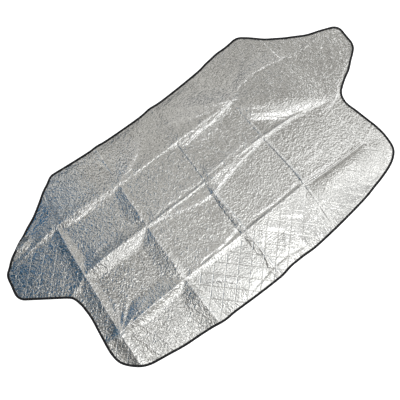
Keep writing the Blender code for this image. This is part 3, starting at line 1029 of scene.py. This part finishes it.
    def relief(self, tree: bpy.types.NodeTree, place: bpy.types.NodeSocket) -> bpy.types.NodeSocket:
        """The patterns as bumps, one over another, with the direction that they give the surface."""
        drift = add_node(tree, "ShaderNodeTexNoise",
                         {"Vector": place, "Scale": 1000.0 / self.drift_mm, "Detail": 2.0})
        bent = add_node(tree, "ShaderNodeMix",
                        {0: self.drift_share, 4: place, 5: drift.outputs["Color"]},
                        data_type="VECTOR").outputs[1]
        crepe = add_node(tree, "ShaderNodeTexNoise",
                         {"Vector": bent, "Scale": 1000.0 / self.crepe_mm, "Detail": 1.0,
                          "Roughness": 0.5, "Gain": 1.0}, noise_type="RIDGED_MULTIFRACTAL")
        crinkle = add_node(tree, "ShaderNodeTexVoronoi",
                           {"Vector": bent, "Scale": 1000.0 / self.crinkle_mm})
        fleck = add_node(tree, "ShaderNodeTexNoise",
                         {"Vector": place, "Scale": 1000.0 / self.fleck_mm, "Detail": 0.0})
        strength = add_node(tree, "ShaderNodeAttribute", attribute_name="crinkled").outputs["Fac"]
        by_strength = []
        for height in (self.strokes(tree, bent), crepe.outputs["Fac"], crinkle.outputs["Distance"]):
            by_strength.append(add_node(tree, "ShaderNodeMath", {0: height, 1: strength},
                                        operation="MULTIPLY").outputs[0])
        heights = (self.welds(tree, place), *by_strength, fleck.outputs["Fac"])
        depths = (self.weld_depth_mm, self.stroke_depth_mm, self.crepe_depth_mm,
                  self.crinkle_depth_mm, self.fleck_depth_mm)
        under = {}
        for height, depth in zip(heights, depths):
            bump = add_node(tree, "ShaderNodeBump",
                            {"Height": height, "Strength": 1.0, "Distance": depth / 1000.0, **under})
            under = {"Normal": bump.outputs["Normal"]}
        return under["Normal"]

    def make(self) -> bpy.types.Material:
        """Builds the finish: the bumps, a lighter colour along crests and fold lines as a painted highlight
        and partly scuffing, and clouds as roughness.
        """
        finish, tree = new_material("embossed_foil")
        place = add_node(tree, "ShaderNodeTexCoord").outputs["Object"]
        # Painted highlight: the foil is drawn lighter along sharp crests and fold lines, partly for the
        # scuffing of creased film.
        wear_and_highlight = add_node(tree, "ShaderNodeAttribute", attribute_name="crest_highlight_and_scuff").outputs["Fac"]
        colour = add_node(tree, "ShaderNodeMix",
                          {0: wear_and_highlight, 6: linear(Colour.FOIL), 7: linear(Colour.FOIL_SCUFF_AND_HIGHLIGHT)},
                          data_type="RGBA").outputs[2]
        cloud = add_node(tree, "ShaderNodeTexNoise",
                         {"Vector": place, "Scale": 1000.0 / self.cloud_mm, "Detail": 3.0})
        dull = add_node(tree, "ShaderNodeMapRange",
                        {"Value": cloud.outputs["Fac"], "From Min": self.cloud_range[0],
                         "From Max": self.cloud_range[1], "To Min": self.roughness - self.glossier,
                         "To Max": self.roughness + self.duller}).outputs[0]
        shader = add_node(tree, "ShaderNodeBsdfPrincipled",
                          {"Base Color": colour, "Roughness": dull, "Metallic": 1.0,
                           "Normal": self.relief(tree, place)})
        add_node(tree, "ShaderNodeOutputMaterial", {"Surface": shader.outputs["BSDF"]})
        return finish


@dataclass(frozen=True)
class WovenTape:
    """Black polyester binding tape, woven in ribs across its width, which takes the gloss off it.

    Real ribs are about 0.9 mm apart and real yarns 0.6 mm. Both are drawn about six times as
    coarse, so that they show in a near view.

    Attributes:
        rib_mm: Distance between ribs, along the tape.
        yarn_mm: Distance between yarns, across it.
        depth_mm: Depth of the weave.
        worn_mm: Size of the patches where the black is a little lighter.
        roughness: Roughness of the cloth.
        sheen: How much its fibres catch light that grazes them.
    """

    rib_mm: float = 5.6549
    yarn_mm: float = 3.7699
    depth_mm: float = 0.12
    worn_mm: float = 25.0
    roughness: float = 0.72
    sheen: float = 0.15

    def make(self) -> bpy.types.Material:
        """Builds the finish on the tape's own UV map, whose units are metres along and across it.

        At a scale of 1 the bands of a wave texture are a tenth of pi apart.
        """
        finish, tree = new_material("binding_tape")
        place = add_node(tree, "ShaderNodeUVMap", uv_map="tape").outputs["UV"]
        ribs = add_node(tree, "ShaderNodeTexWave",
                        {"Vector": place, "Scale": math.pi / 10.0 * 1000.0 / self.rib_mm},
                        bands_direction="X")
        yarns = add_node(tree, "ShaderNodeTexWave",
                         {"Vector": place, "Scale": math.pi / 10.0 * 1000.0 / self.yarn_mm},
                         bands_direction="Y")
        weave = add_node(tree, "ShaderNodeMath", {0: ribs.outputs["Fac"], 1: yarns.outputs["Fac"]},
                         operation="MULTIPLY").outputs[0]
        bump = add_node(tree, "ShaderNodeBump",
                        {"Height": weave, "Strength": 0.8, "Distance": self.depth_mm / 1000.0})
        where = add_node(tree, "ShaderNodeTexCoord").outputs["Object"]
        wear_and_highlight = add_node(tree, "ShaderNodeTexNoise",
                        {"Vector": where, "Scale": 1000.0 / self.worn_mm, "Detail": 3.0}).outputs["Fac"]
        colour = add_node(tree, "ShaderNodeMix",
                          {0: wear_and_highlight, 6: linear(Colour.TAPE), 7: linear(Colour.TAPE_WORN)},
                          data_type="RGBA").outputs[2]
        shader = add_node(tree, "ShaderNodeBsdfPrincipled",
                          {"Base Color": colour, "Roughness": self.roughness,
                           "Sheen Weight": self.sheen, "Normal": bump.outputs["Normal"]})
        add_node(tree, "ShaderNodeOutputMaterial", {"Surface": shader.outputs["BSDF"]})
        return finish


@dataclass(frozen=True)
class SewingThread:
    """Black polyester thread, twisted, a little glossier than the tape it holds.

    Attributes:
        twist_mm: Size of the twist's bumps.
        depth_mm: Their depth.
        roughness: Roughness of the thread.
    """

    twist_mm: float = 0.5
    depth_mm: float = 0.1
    roughness: float = 0.5

    def make(self) -> bpy.types.Material:
        """Builds the finish: a plain black with the twist as bump."""
        finish, tree = new_material("seam_thread")
        place = add_node(tree, "ShaderNodeTexCoord").outputs["Object"]
        twist = add_node(tree, "ShaderNodeTexNoise", {"Vector": place, "Scale": 1000.0 / self.twist_mm})
        bump = add_node(tree, "ShaderNodeBump",
                        {"Height": twist.outputs["Fac"], "Distance": self.depth_mm / 1000.0})
        shader = add_node(tree, "ShaderNodeBsdfPrincipled",
                          {"Base Color": linear(Colour.THREAD), "Roughness": self.roughness,
                           "Normal": bump.outputs["Normal"]})
        add_node(tree, "ShaderNodeOutputMaterial", {"Surface": shader.outputs["BSDF"]})
        return finish


@dataclass(frozen=True)
class RimSizes:
    """How the sheet is pressed and the tape folded along the edge.

    Attributes:
        sheet: Thickness of the sheet.
        rim: Thickness that the tape presses it to.
        tape: Thickness of the tape.
        tape_width: How far in from the cut the tape reaches.
        clearance: Gap between the tape and the sheet.
    """

    sheet: float = 0.0030
    rim: float = 0.0016
    tape: float = 0.0007
    tape_width: float = 0.0105
    clearance: float = 0.0003

    @property
    def gap(self) -> float:
        """Distance from the cut to the sheet inside the tape, and from the ground to its rim."""
        return self.tape + self.clearance

    @property
    def height(self) -> float:
        """Height of the tape folded round the rim."""
        return 2.0 * self.gap + self.rim


@dataclass
class FoilSheet:
    """The padded sheet, with its foil face up.

    Attributes:
        cut: The cover's cut.
        relief: Its rises and falls.
        sizes: Its thickness and the tape's.
        columns: Cells of the upper face along the cover.
        rows: Cells of the upper face across it.
        coarse: How many of them one cell of the lower face spans.
        grip_margin: How far past the tape the sheet is still pressed.
        swell_run: How far it takes from there to its full thickness.
        piece: The finished piece.
    """

    cut: Cut
    relief: Relief
    sizes: RimSizes
    columns: int = 400
    rows: int = 200
    coarse: int = 4
    grip_margin: float = 0.001
    swell_run: float = 0.022
    piece: bpy.types.Object = field(init=False)

    def full(self, places: np.ndarray) -> np.ndarray:
        """How far out of the tape's grip each place is, from 0 at the rim to 1 inside.

        It is a smooth step of the distance to the nearest point of the cut.
        """
        ring = self.cut.laid(self.cut.outline())
        gap = np.empty(places.shape[:-1])
        for row in range(places.shape[0]):
            offset = places[row][:, None, :] - ring[None, :, :]
            gap[row] = np.sqrt((offset ** 2).sum(axis=-1).min(axis=-1))
        grip = self.sizes.tape_width + self.grip_margin
        return smoothstep(gap, grip, grip + self.swell_run)

    def build(self) -> None:
        """Makes the sheet: a fine upper face, a coarse lower one, and the rim between them.

        The lower face is the ridges' height, lifted by the tape at the rim. The upper face adds the
        thickness, from pressed to full, and the fine relief, which fades out at the rim. The upper
        face stores for its material how much painted highlight and scuffing each point gets along
        the crests, and how crinkled and quilted it is.
        """
        grid = CreasedGrid(self.cut, self.sizes.gap, self.columns, self.rows)
        flat = grid.places([np.array(crease.path) for crease in CROSS_CREASES],
                           [np.array(crease.path) for crease in LONG_CREASES])
        places = self.cut.laid(flat)
        x, y = places[..., 0], places[..., 1]
        full = self.full(places)
        base = self.relief.base(x, y) + self.sizes.gap * (1.0 - full)
        thick = self.sizes.rim + (self.sizes.sheet - self.sizes.rim) * full
        top = np.dstack([x, y, base + thick + full * self.relief.fine(x, y)])
        under = np.dstack([x, y, base])[::self.coarse, ::self.coarse].reshape(-1, 3)
        points = np.concatenate([top.reshape(-1, 3), under])
        self.piece = new_piece("foil_sheet", points, self.faces(), 50.0)
        # The first attribute is the painted highlight along crests and fold lines, partly scuffing of the
        # film.
        for name, upper, lower in (("crest_highlight_and_scuff", self.relief.crest(x, y) * full, 0.0),
                                   ("crinkled", self.relief.crinkled(x, y), 1.0),
                                   ("quilted", self.relief.quilted(x, y), 0.0)):
            set_attribute(self.piece, name, np.concatenate([upper.ravel(), np.full(len(under), lower)]))

    def faces(self) -> list[np.ndarray]:
        """Faces of both grids and of the rim.

        The rim has a fan at each cell of the lower face: its upper points on the first half of the
        cell meet the cell's first lower point, the others meet its second, and one face closes it.

        Returns:
            Arrays of faces: the upper face, the lower face and the rim.
        """
        count = (self.columns + 1) * (self.rows + 1)
        few_columns, few_rows = self.columns // self.coarse, self.rows // self.coarse
        outer = grid_border(self.columns, self.rows)
        inner = grid_border(few_columns, few_rows, count)
        following = np.roll(inner, -1)
        half = self.coarse // 2
        fans = []
        for part in range(self.coarse):
            foot = inner if part < half else following
            ends = np.roll(outer, -1)[part::self.coarse]
            fans.append(np.stack([outer[part::self.coarse], foot, ends], axis=-1))
        fans.append(np.stack([outer[half::self.coarse], inner, following], axis=-1))
        lower = grid_quads(few_columns, few_rows, count)[:, ::-1]
        return [grid_quads(self.columns, self.rows), lower, np.concatenate(fans)]

    def dress(self, finish: bpy.types.Material) -> None:
        """Gives the sheet its foil and puts it in place of the plain solid."""
        self.piece.data.materials.append(finish)
        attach(self.piece, "root")
        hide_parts("foil_panel")

    def flat_area(self) -> float:
        """Area inside the cut, by the shoelace formula."""
        ring = self.cut.outline()
        after = np.roll(ring, -1, axis=0)
        return float(np.sum(ring[:, 0] * after[:, 1] - after[:, 0] * ring[:, 1])) / 2.0


@dataclass
class EdgeBinding:
    """The tape folded over the rim all round, and the seam that holds it.

    Attributes:
        cut: The cover's cut.
        relief: Rises and falls of the sheet that it follows.
        sizes: Sizes of tape and rim.
        stations: Number of places along the cut where the tape's section stands.
        fold_points: Number of points round the outside of the fold.
        fold_bulge: How far in the fold's round outside reaches.
        pucker: Height of the waves that the seam draws into the tape.
        pucker_pitch: Length of those waves.
        pucker_from: Share of the tape's height and width from which its points move with them.
        stitch_pitch: Distance between stitches.
        stitch_length: Length of a stitch.
        thread: Thickness of the thread.
        seam_from_edge: How far in from the cut the seam runs.
        stitch_rings: Number of sections along a stitch.
        stitch_sides: Number of sides round it.
        stitch_taper: Half length of a stitch, as a share of its ellipse's.
        stitch_sink: How far its ends sink, as a share of the thread.
        stitch_rise: How far its middle stands out of the tape, as a share of the thread.
        piece: The finished tape.
        seam: The finished seam.
    """

    cut: Cut
    relief: Relief
    sizes: RimSizes
    stations: int = 1200
    fold_points: int = 7
    fold_bulge: float = 0.0016
    pucker: float = 0.00015
    pucker_pitch: float = 0.0176
    pucker_from: float = 0.9
    stitch_pitch: float = 0.0044
    stitch_length: float = 0.0034
    thread: float = 0.00055
    seam_from_edge: float = 0.0075
    stitch_rings: int = 4
    stitch_sides: int = 5
    stitch_taper: float = 0.92
    stitch_sink: float = 0.35
    stitch_rise: float = 0.15
    piece: bpy.types.Object = field(init=False)
    seam: bpy.types.Object = field(init=False)

    def section(self) -> np.ndarray:
        """The folded tape cut across, as distance into the sheet and height, round its outline.

        The outside of the fold is half an ellipse, the inside a plain channel.
        """
        sizes = self.sizes
        turn = np.linspace(-math.pi / 2.0, math.pi / 2.0, self.fold_points)
        fold = np.stack([self.fold_bulge * (1.0 - np.cos(turn)),
                         sizes.height / 2.0 * (1.0 + np.sin(turn))], axis=-1)
        high = sizes.height - sizes.tape
        channel = [(sizes.tape_width, sizes.height), (sizes.tape_width, high), (sizes.tape, high),
                   (sizes.tape, sizes.tape), (sizes.tape_width, sizes.tape), (sizes.tape_width, 0.0)]
        middle = (sizes.tape_width + self.fold_bulge) / 2.0
        return np.array([*fold, (middle, sizes.height), *channel, (middle, 0.0)])

    def build(self) -> None:
        """Carries the section along the cut, as high as the sheet's underside is there.

        The seam's puckers are a sine along the cut: they lift the tape's top and move its inner
        borders twice as far.
        """
        ring = self.cut.laid(self.cut.ring(self.stations))
        inward = inward_normals(ring)
        lift = self.relief.base(ring[:, 0], ring[:, 1])
        length = float(np.hypot(*(np.roll(ring, -1, axis=0) - ring).T).sum())
        travel = np.arange(self.stations) / self.stations * length
        section = self.section()
        depth, height = section[:, 0][:, None], section[:, 1][:, None]
        waves = self.pucker * np.sin(2.0 * math.pi * travel / self.pucker_pitch)
        on_top = height > self.sizes.height * self.pucker_from
        on_border = depth > self.sizes.tape_width * self.pucker_from
        inside = depth + np.where(on_border, 2.0 * waves[None, :], 0.0)
        places = ring[None, :, :] + inside[..., None] * inward[None, :, :]
        level = lift[None, :] + height + np.where(on_top, waves[None, :], 0.0)
        points = np.concatenate([places, level[..., None]], axis=-1)
        faces = self.tape_faces(len(section))
        self.piece = new_piece("binding", points.reshape(-1, 3), [faces], 50.0)
        self.add_tape_map(faces, length)
        self.build_seam(np.column_stack([ring + inward * self.seam_from_edge, lift]), inward, length)

    def tape_faces(self, rings: int) -> np.ndarray:
        """Faces of a closed tube whose points are stored ring by ring along the cut."""
        row, step = np.meshgrid(np.arange(rings), np.arange(self.stations), indexing="ij")
        next_row, next_step = (row + 1) % rings, (step + 1) % self.stations
        index = [row * self.stations + step, next_row * self.stations + step,
                 next_row * self.stations + next_step, row * self.stations + next_step]
        return np.stack(index, axis=-1).reshape(-1, 4)

    def add_tape_map(self, faces: np.ndarray, length: float) -> None:
        """Lays the UV map: metres along the cut, and metres round the section."""
        section = self.section()
        around = lengths_along(np.concatenate([section, section[:1]]))
        row, step = np.divmod(np.arange(len(faces)), self.stations)
        start, end = step * length / self.stations, (step + 1) * length / self.stations
        low, high = around[row], around[row + 1]
        corners = np.stack([np.stack([start, low], axis=-1), np.stack([start, high], axis=-1),
                            np.stack([end, high], axis=-1), np.stack([end, low], axis=-1)], axis=1)
        layer = self.piece.data.uv_layers.new(name="tape")
        layer.data.foreach_set("uv", corners.astype(np.float32).ravel())

    def build_seam(self, line: np.ndarray, inward: np.ndarray, length: float) -> None:
        """Lays a row of stitches on both sides of the tape, each a small spindle of thread.

        A spindle's centre line sinks at its ends by a square, and its radius is that of an ellipse.

        Args:
            line: The seam's line on the sheet's underside, one place for each station.
            inward: Directions into the sheet at the stations.
            length: Length of the whole cut.
        """
        count = int(length / self.stitch_pitch)
        along = np.linspace(-1.0, 1.0, self.stitch_rings)[None, :, None]
        turn = (np.arange(self.stitch_sides) * 2.0 * math.pi / self.stitch_sides)[None, None, :]
        middle = (np.arange(count)[:, None, None] + 0.5) * length / count
        travel = (middle + along * self.stitch_length / 2.0) % length
        stations = np.arange(self.stations + 1) * length / self.stations
        centre, side = (np.stack([np.interp(travel, stations, column)
                                  for column in np.concatenate([given, given[:1]]).T], axis=-1)
                        for given in (line, inward))
        radius = self.thread / 2.0 * np.sqrt(1.0 - (self.stitch_taper * along) ** 2)
        sink = self.stitch_sink * self.thread * along ** 2
        flat = centre[..., :2] + (radius * np.cos(turn))[..., None] * side
        above = self.stitch_rise * self.thread - sink
        upper = self.sizes.height + above + radius * np.sin(turn)
        lower = np.maximum(radius * np.sin(turn) - above, 0.0)
        points = np.concatenate([np.concatenate([flat, (centre[..., 2] + level)[..., None]], axis=-1)
                                 for level in (upper, lower)])
        self.seam = new_piece("binding_seam", points.reshape(-1, 3), self.stitch_faces(len(points)), 60.0)

    def stitch_faces(self, count: int) -> list[np.ndarray]:
        """Faces of the spindles: the walls between their rings, and a cap at each end."""
        rings, sides = self.stitch_rings, self.stitch_sides
        corner = (np.arange(count)[:, None, None] * rings + np.arange(rings - 1)[None, :, None]) * sides
        spot = np.arange(sides)[None, None, :]
        after = (spot + 1) % sides
        walls = np.stack([corner + spot, corner + after,
                          corner + sides + after, corner + sides + spot], axis=-1)
        first = np.arange(count)[:, None] * rings * sides + np.arange(sides)[None, ::-1]
        last = (np.arange(count)[:, None] + 1) * rings * sides - sides + np.arange(sides)[None, :]
        return [walls.reshape(-1, 4), first, last]

    def dress(self, tape: bpy.types.Material, thread: bpy.types.Material) -> None:
        """Gives tape and seam their finishes, and puts the tape in place of the plain solid."""
        self.piece.data.materials.append(tape)
        self.seam.data.materials.append(thread)
        for piece in (self.piece, self.seam):
            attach(piece, "root")
        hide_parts("edge_binding")


@dataclass(frozen=True)
class Zone:
    """A part of the ceiling with its own tone, which fades out at its borders.

    Attributes:
        x: Place of its middle along X.
        y: Place of its middle along Y.
        reach_x: Distance at which it has faded to about a third along X.
        reach_y: The same along Y.
        tone: How brightly it glows.
        colour: Its colour.
    """

    x: float
    y: float
    reach_x: float
    reach_y: float
    tone: float
    colour: Colour

    def weight(self, x: np.ndarray, y: np.ndarray) -> np.ndarray:
        """Share that the zone has in each place: exp(-(dx / reach_x)^6 - (dy / reach_y)^6)."""
        return np.exp(-((x - self.x) / self.reach_x) ** 6 - ((y - self.y) / self.reach_y) ** 6)


@dataclass(frozen=True)
class Ceiling:
    """A glowing ceiling, mottled so that crinkled foil glints.

    Each zone in turn blends its tone and colour over those before it. The mottling multiplies
    the tone by a noise that goes from dim to bright.

    Attributes:
        height: Height over the floor.
        left: Where it begins along X.
        right: Where it ends along X.
        near: Where it begins along Y.
        far: Where it ends along Y.
        cell: Size of its grid's cells.
        mottle: Size of the mottling's blots.
        darkest: Share of the tone that the dimmest blots keep.
        spread: How far on each side of its middle value the noise goes from dimmest to brightest.
        zones: Its zones, the first one over all of it.
    """

    height: float = 2.4
    left: float = -4.0
    right: float = 4.6
    near: float = -3.6
    far: float = 3.6
    cell: float = 0.1
    mottle: float = 0.60
    darkest: float = 0.38
    spread: float = 0.10
    zones: tuple[Zone, ...] = (
        Zone(0.0, 0.0, 9.0, 9.0, 0.45, Colour.CEILING),
        Zone(0.35, 1.34, 1.7, 0.16, 0.58, Colour.CEILING),
        Zone(1.35, 1.30, 0.50, 0.18, 0.58, Colour.CEILING),
        Zone(-0.60, 1.40, 0.38, 0.26, 0.95, Colour.CEILING),
        Zone(-0.85, 0.72, 0.24, 0.26, 0.82, Colour.CEILING),
        Zone(1.27, 0.97, 0.42, 0.12, 0.58, Colour.CEILING),
        Zone(-0.10, 1.09, 0.42, 0.13, 0.31, Colour.CEILING),
        Zone(0.45, 0.20, 1.2, 0.60, 0.47, Colour.CEILING),
        Zone(-0.40, 0.05, 0.50, 0.22, 0.37, Colour.CEILING),
        Zone(-0.70, 0.03, 0.40, 0.24, 0.19, Colour.CEILING),
        Zone(0.60, 0.08, 1.2, 0.32, 0.53, Colour.CEILING),
        Zone(1.42, -0.09, 0.58, 0.24, 0.95, Colour.WINDOW),
        Zone(2.20, 0.75, 0.60, 0.60, 0.36, Colour.CEILING),
        Zone(1.62, 0.62, 0.22, 0.26, 0.36, Colour.CEILING),
        Zone(0.90, -1.02, 1.9, 0.88, 1.00, Colour.WINDOW),
        Zone(0.42, -1.02, 0.68, 0.88, 1.50, Colour.WINDOW),
        Zone(-0.93, -0.95, 0.34, 0.80, 1.14, Colour.WINDOW),
        Zone(-0.58, -0.60, 0.20, 0.50, 0.35, Colour.WINDOW),
        Zone(-0.33, -0.60, 0.13, 0.45, 0.72, Colour.WINDOW),
        Zone(-0.02, -0.18, 0.28, 0.12, 0.56, Colour.WINDOW),
        Zone(4.10, 0.0, 1.2, 3.0, 1.20, Colour.WINDOW),
        Zone(1.00, 3.20, 6.0, 1.1, 0.18, Colour.GREY_SHADE),
        Zone(-0.70, 2.20, 0.50, 0.40, 0.18, Colour.SHADE),
        Zone(-0.75, 1.70, 0.42, 0.14, 0.46, Colour.GREY_SHADE),
        Zone(-2.75, -0.20, 1.1, 3.0, 0.16, Colour.GREY_SHADE),
        Zone(-1.48, -0.55, 0.40, 0.85, 0.52, Colour.CEILING),
        Zone(-2.75, 1.60, 1.1, 1.2, 0.17, Colour.SHADE),
        Zone(-1.52, 0.62, 0.42, 0.34, 0.14, Colour.SHADE),
        Zone(-1.62, 0.86, 0.50, 0.22, 0.155, Colour.DEEP_SHADE),
        Zone(-0.90, 1.08, 0.20, 0.18, 0.42, Colour.SHADE),
        Zone(-1.15, 1.16, 0.25, 0.32, 0.19, Colour.DEEP_SHADE),
    )

    def build(self) -> None:
        """Makes the ceiling as a grid that faces down, with its tones as a colour at each point."""
        columns = round((self.right - self.left) / self.cell)
        rows = round((self.far - self.near) / self.cell)
        x, y = np.meshgrid(np.linspace(self.left, self.right, columns + 1),
                           np.linspace(self.near, self.far, rows + 1))
        points = np.dstack([x, y, np.full(x.shape, self.height)]).reshape(-1, 3)
        ceiling = new_piece("ceiling", points, [grid_quads(columns, rows)[:, ::-1]], 30.0)
        glow = np.zeros((*x.shape, 3))
        for zone in self.zones:
            light = zone.tone * np.array(linear(zone.colour)[:3])
            glow += (light - glow) * zone.weight(x, y)[..., None]
        layer = ceiling.data.color_attributes.new("glow", "FLOAT_COLOR", "POINT")
        layer.data.foreach_set("color", np.dstack([glow, np.ones(x.shape)]).astype(np.float32).ravel())
        finish, tree = new_material("ceiling_glow")
        place = add_node(tree, "ShaderNodeTexCoord").outputs["Object"]
        blots = add_node(tree, "ShaderNodeTexNoise",
                         {"Vector": place, "Scale": 1.0 / self.mottle, "Detail": 1.0}).outputs["Fac"]
        strength = add_node(tree, "ShaderNodeMapRange",
                            {"Value": blots, "From Min": 0.5 - self.spread, "From Max": 0.5 + self.spread,
                             "To Min": self.darkest, "To Max": 2.0 - self.darkest}).outputs[0]
        tone = add_node(tree, "ShaderNodeAttribute", attribute_name="glow").outputs["Color"]
        shader = add_node(tree, "ShaderNodeEmission", {"Color": tone, "Strength": strength})
        add_node(tree, "ShaderNodeOutputMaterial", {"Surface": shader.outputs["Emission"]})
        ceiling.data.materials.append(finish)
        ceiling.visible_camera = False
        ceiling.visible_shadow = False


@dataclass(frozen=True)
class Studio:
    """Pale floor, plain room, glowing ceiling and the camera above the cover.

    Attributes:
        floor_size: Length of the floor's sides.
        floor_gap: How far the floor lies under the cover.
        floor_glow: How brightly the floor glows.
        floor_roughness: Roughness of the floor.
        room_brightness: How brightly the room round it glows.
        lens_mm: Focal length of the camera.
        film_mm: Width of its film.
        camera_place: Where it stands.
        aim: What it points at.
        picture_up_degrees: Which way the picture's upper edge lies, as an angle from X.
        ceiling: The glowing ceiling.
    """

    floor_size: float = 30.0
    floor_gap: float = 0.0005
    floor_glow: float = 1.0
    floor_roughness: float = 0.9
    room_brightness: float = 1.0
    lens_mm: float = 45.0
    film_mm: float = 36.0
    camera_place: tuple[float, float, float] = (-0.2861, -0.3027, 2.1606)
    aim: tuple[float, float, float] = (-0.0682, -0.0087, 0.0)
    picture_up_degrees: float = 51.84
    ceiling: Ceiling = Ceiling()

    def build_floor(self) -> None:
        """A wide plate just under the cover, which glows so that it stays pale."""
        half = self.floor_size / 2.0
        corners = np.array([(-half, -half), (half, -half), (half, half), (-half, half)])
        points = np.column_stack([corners, np.full(4, -self.floor_gap)])
        floor = new_piece("floor", points, [np.array([[0, 1, 2, 3]])], 30.0)
        finish, tree = new_material("pale_floor")
        shader = add_node(tree, "ShaderNodeBsdfPrincipled",
                          {"Base Color": linear(Colour.FLOOR), "Roughness": self.floor_roughness,
                           "Specular IOR Level": 0.0, "Emission Color": (1.0, 1.0, 1.0, 1.0),
                           "Emission Strength": self.floor_glow})
        add_node(tree, "ShaderNodeOutputMaterial", {"Surface": shader.outputs["BSDF"]})
        floor.data.materials.append(finish)

    def build_room(self) -> None:
        """A plain grey room all round."""
        world = bpy.data.worlds.new("room")
        bpy.context.scene.world = world
        world.use_nodes = True
        shade = world.node_tree.nodes["Background"]
        shade.inputs["Color"].default_value = linear(Colour.ROOM)
        shade.inputs["Strength"].default_value = self.room_brightness

    def build_camera(self) -> None:
        """Looks from the camera's place to the aim, with the picture's up at its angle from X."""
        camera = bpy.data.cameras.new("camera")
        camera.lens = self.lens_mm
        camera.sensor_width = self.film_mm
        eye, aim = Vector(self.camera_place), Vector(self.aim)
        back = (eye - aim).normalized()
        heading = math.radians(self.picture_up_degrees)
        up = Vector((math.cos(heading), math.sin(heading), 0.0))
        right = up.cross(back).normalized()
        turned = Matrix((right, back.cross(right), back)).transposed().to_4x4()
        holder = bpy.data.objects.new("camera", camera)
        holder.matrix_world = Matrix.Translation(eye) @ turned
        bpy.context.scene.collection.objects.link(holder)
        bpy.context.scene.camera = holder

    def build(self) -> None:
        """Builds floor, room, camera and ceiling, and shows colours as they are."""
        bpy.context.scene.view_settings.view_transform = "Standard"
        self.build_floor()
        self.build_room()
        self.build_camera()
        self.ceiling.build()


def main() -> None:
    """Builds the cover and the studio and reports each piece."""
    logging.basicConfig(level=logging.INFO)
    cut, relief, sizes = Cut(), Relief(), RimSizes()
    sheet = FoilSheet(cut, relief, sizes)
    sheet.build()
    sheet.dress(EmbossedFoil().make())
    LOG.info("foil sheet: %d faces", len(sheet.piece.data.polygons))
    binding = EdgeBinding(cut, relief, sizes)
    binding.build()
    binding.dress(WovenTape().make(), SewingThread().make())
    LOG.info("binding: %d faces", len(binding.piece.data.polygons))
    LOG.info("binding seam: %d faces", len(binding.seam.data.polygons))
    outline = cut.outline()
    width, length = (outline.max(axis=0) - outline.min(axis=0)).tolist()
    sheet.flat_area()
    LOG.info("flat size %.3f by %.3f m, %.3f square metres", width, length, sheet.flat_area())
    Studio().build()


if __name__ == "__main__":
    main()
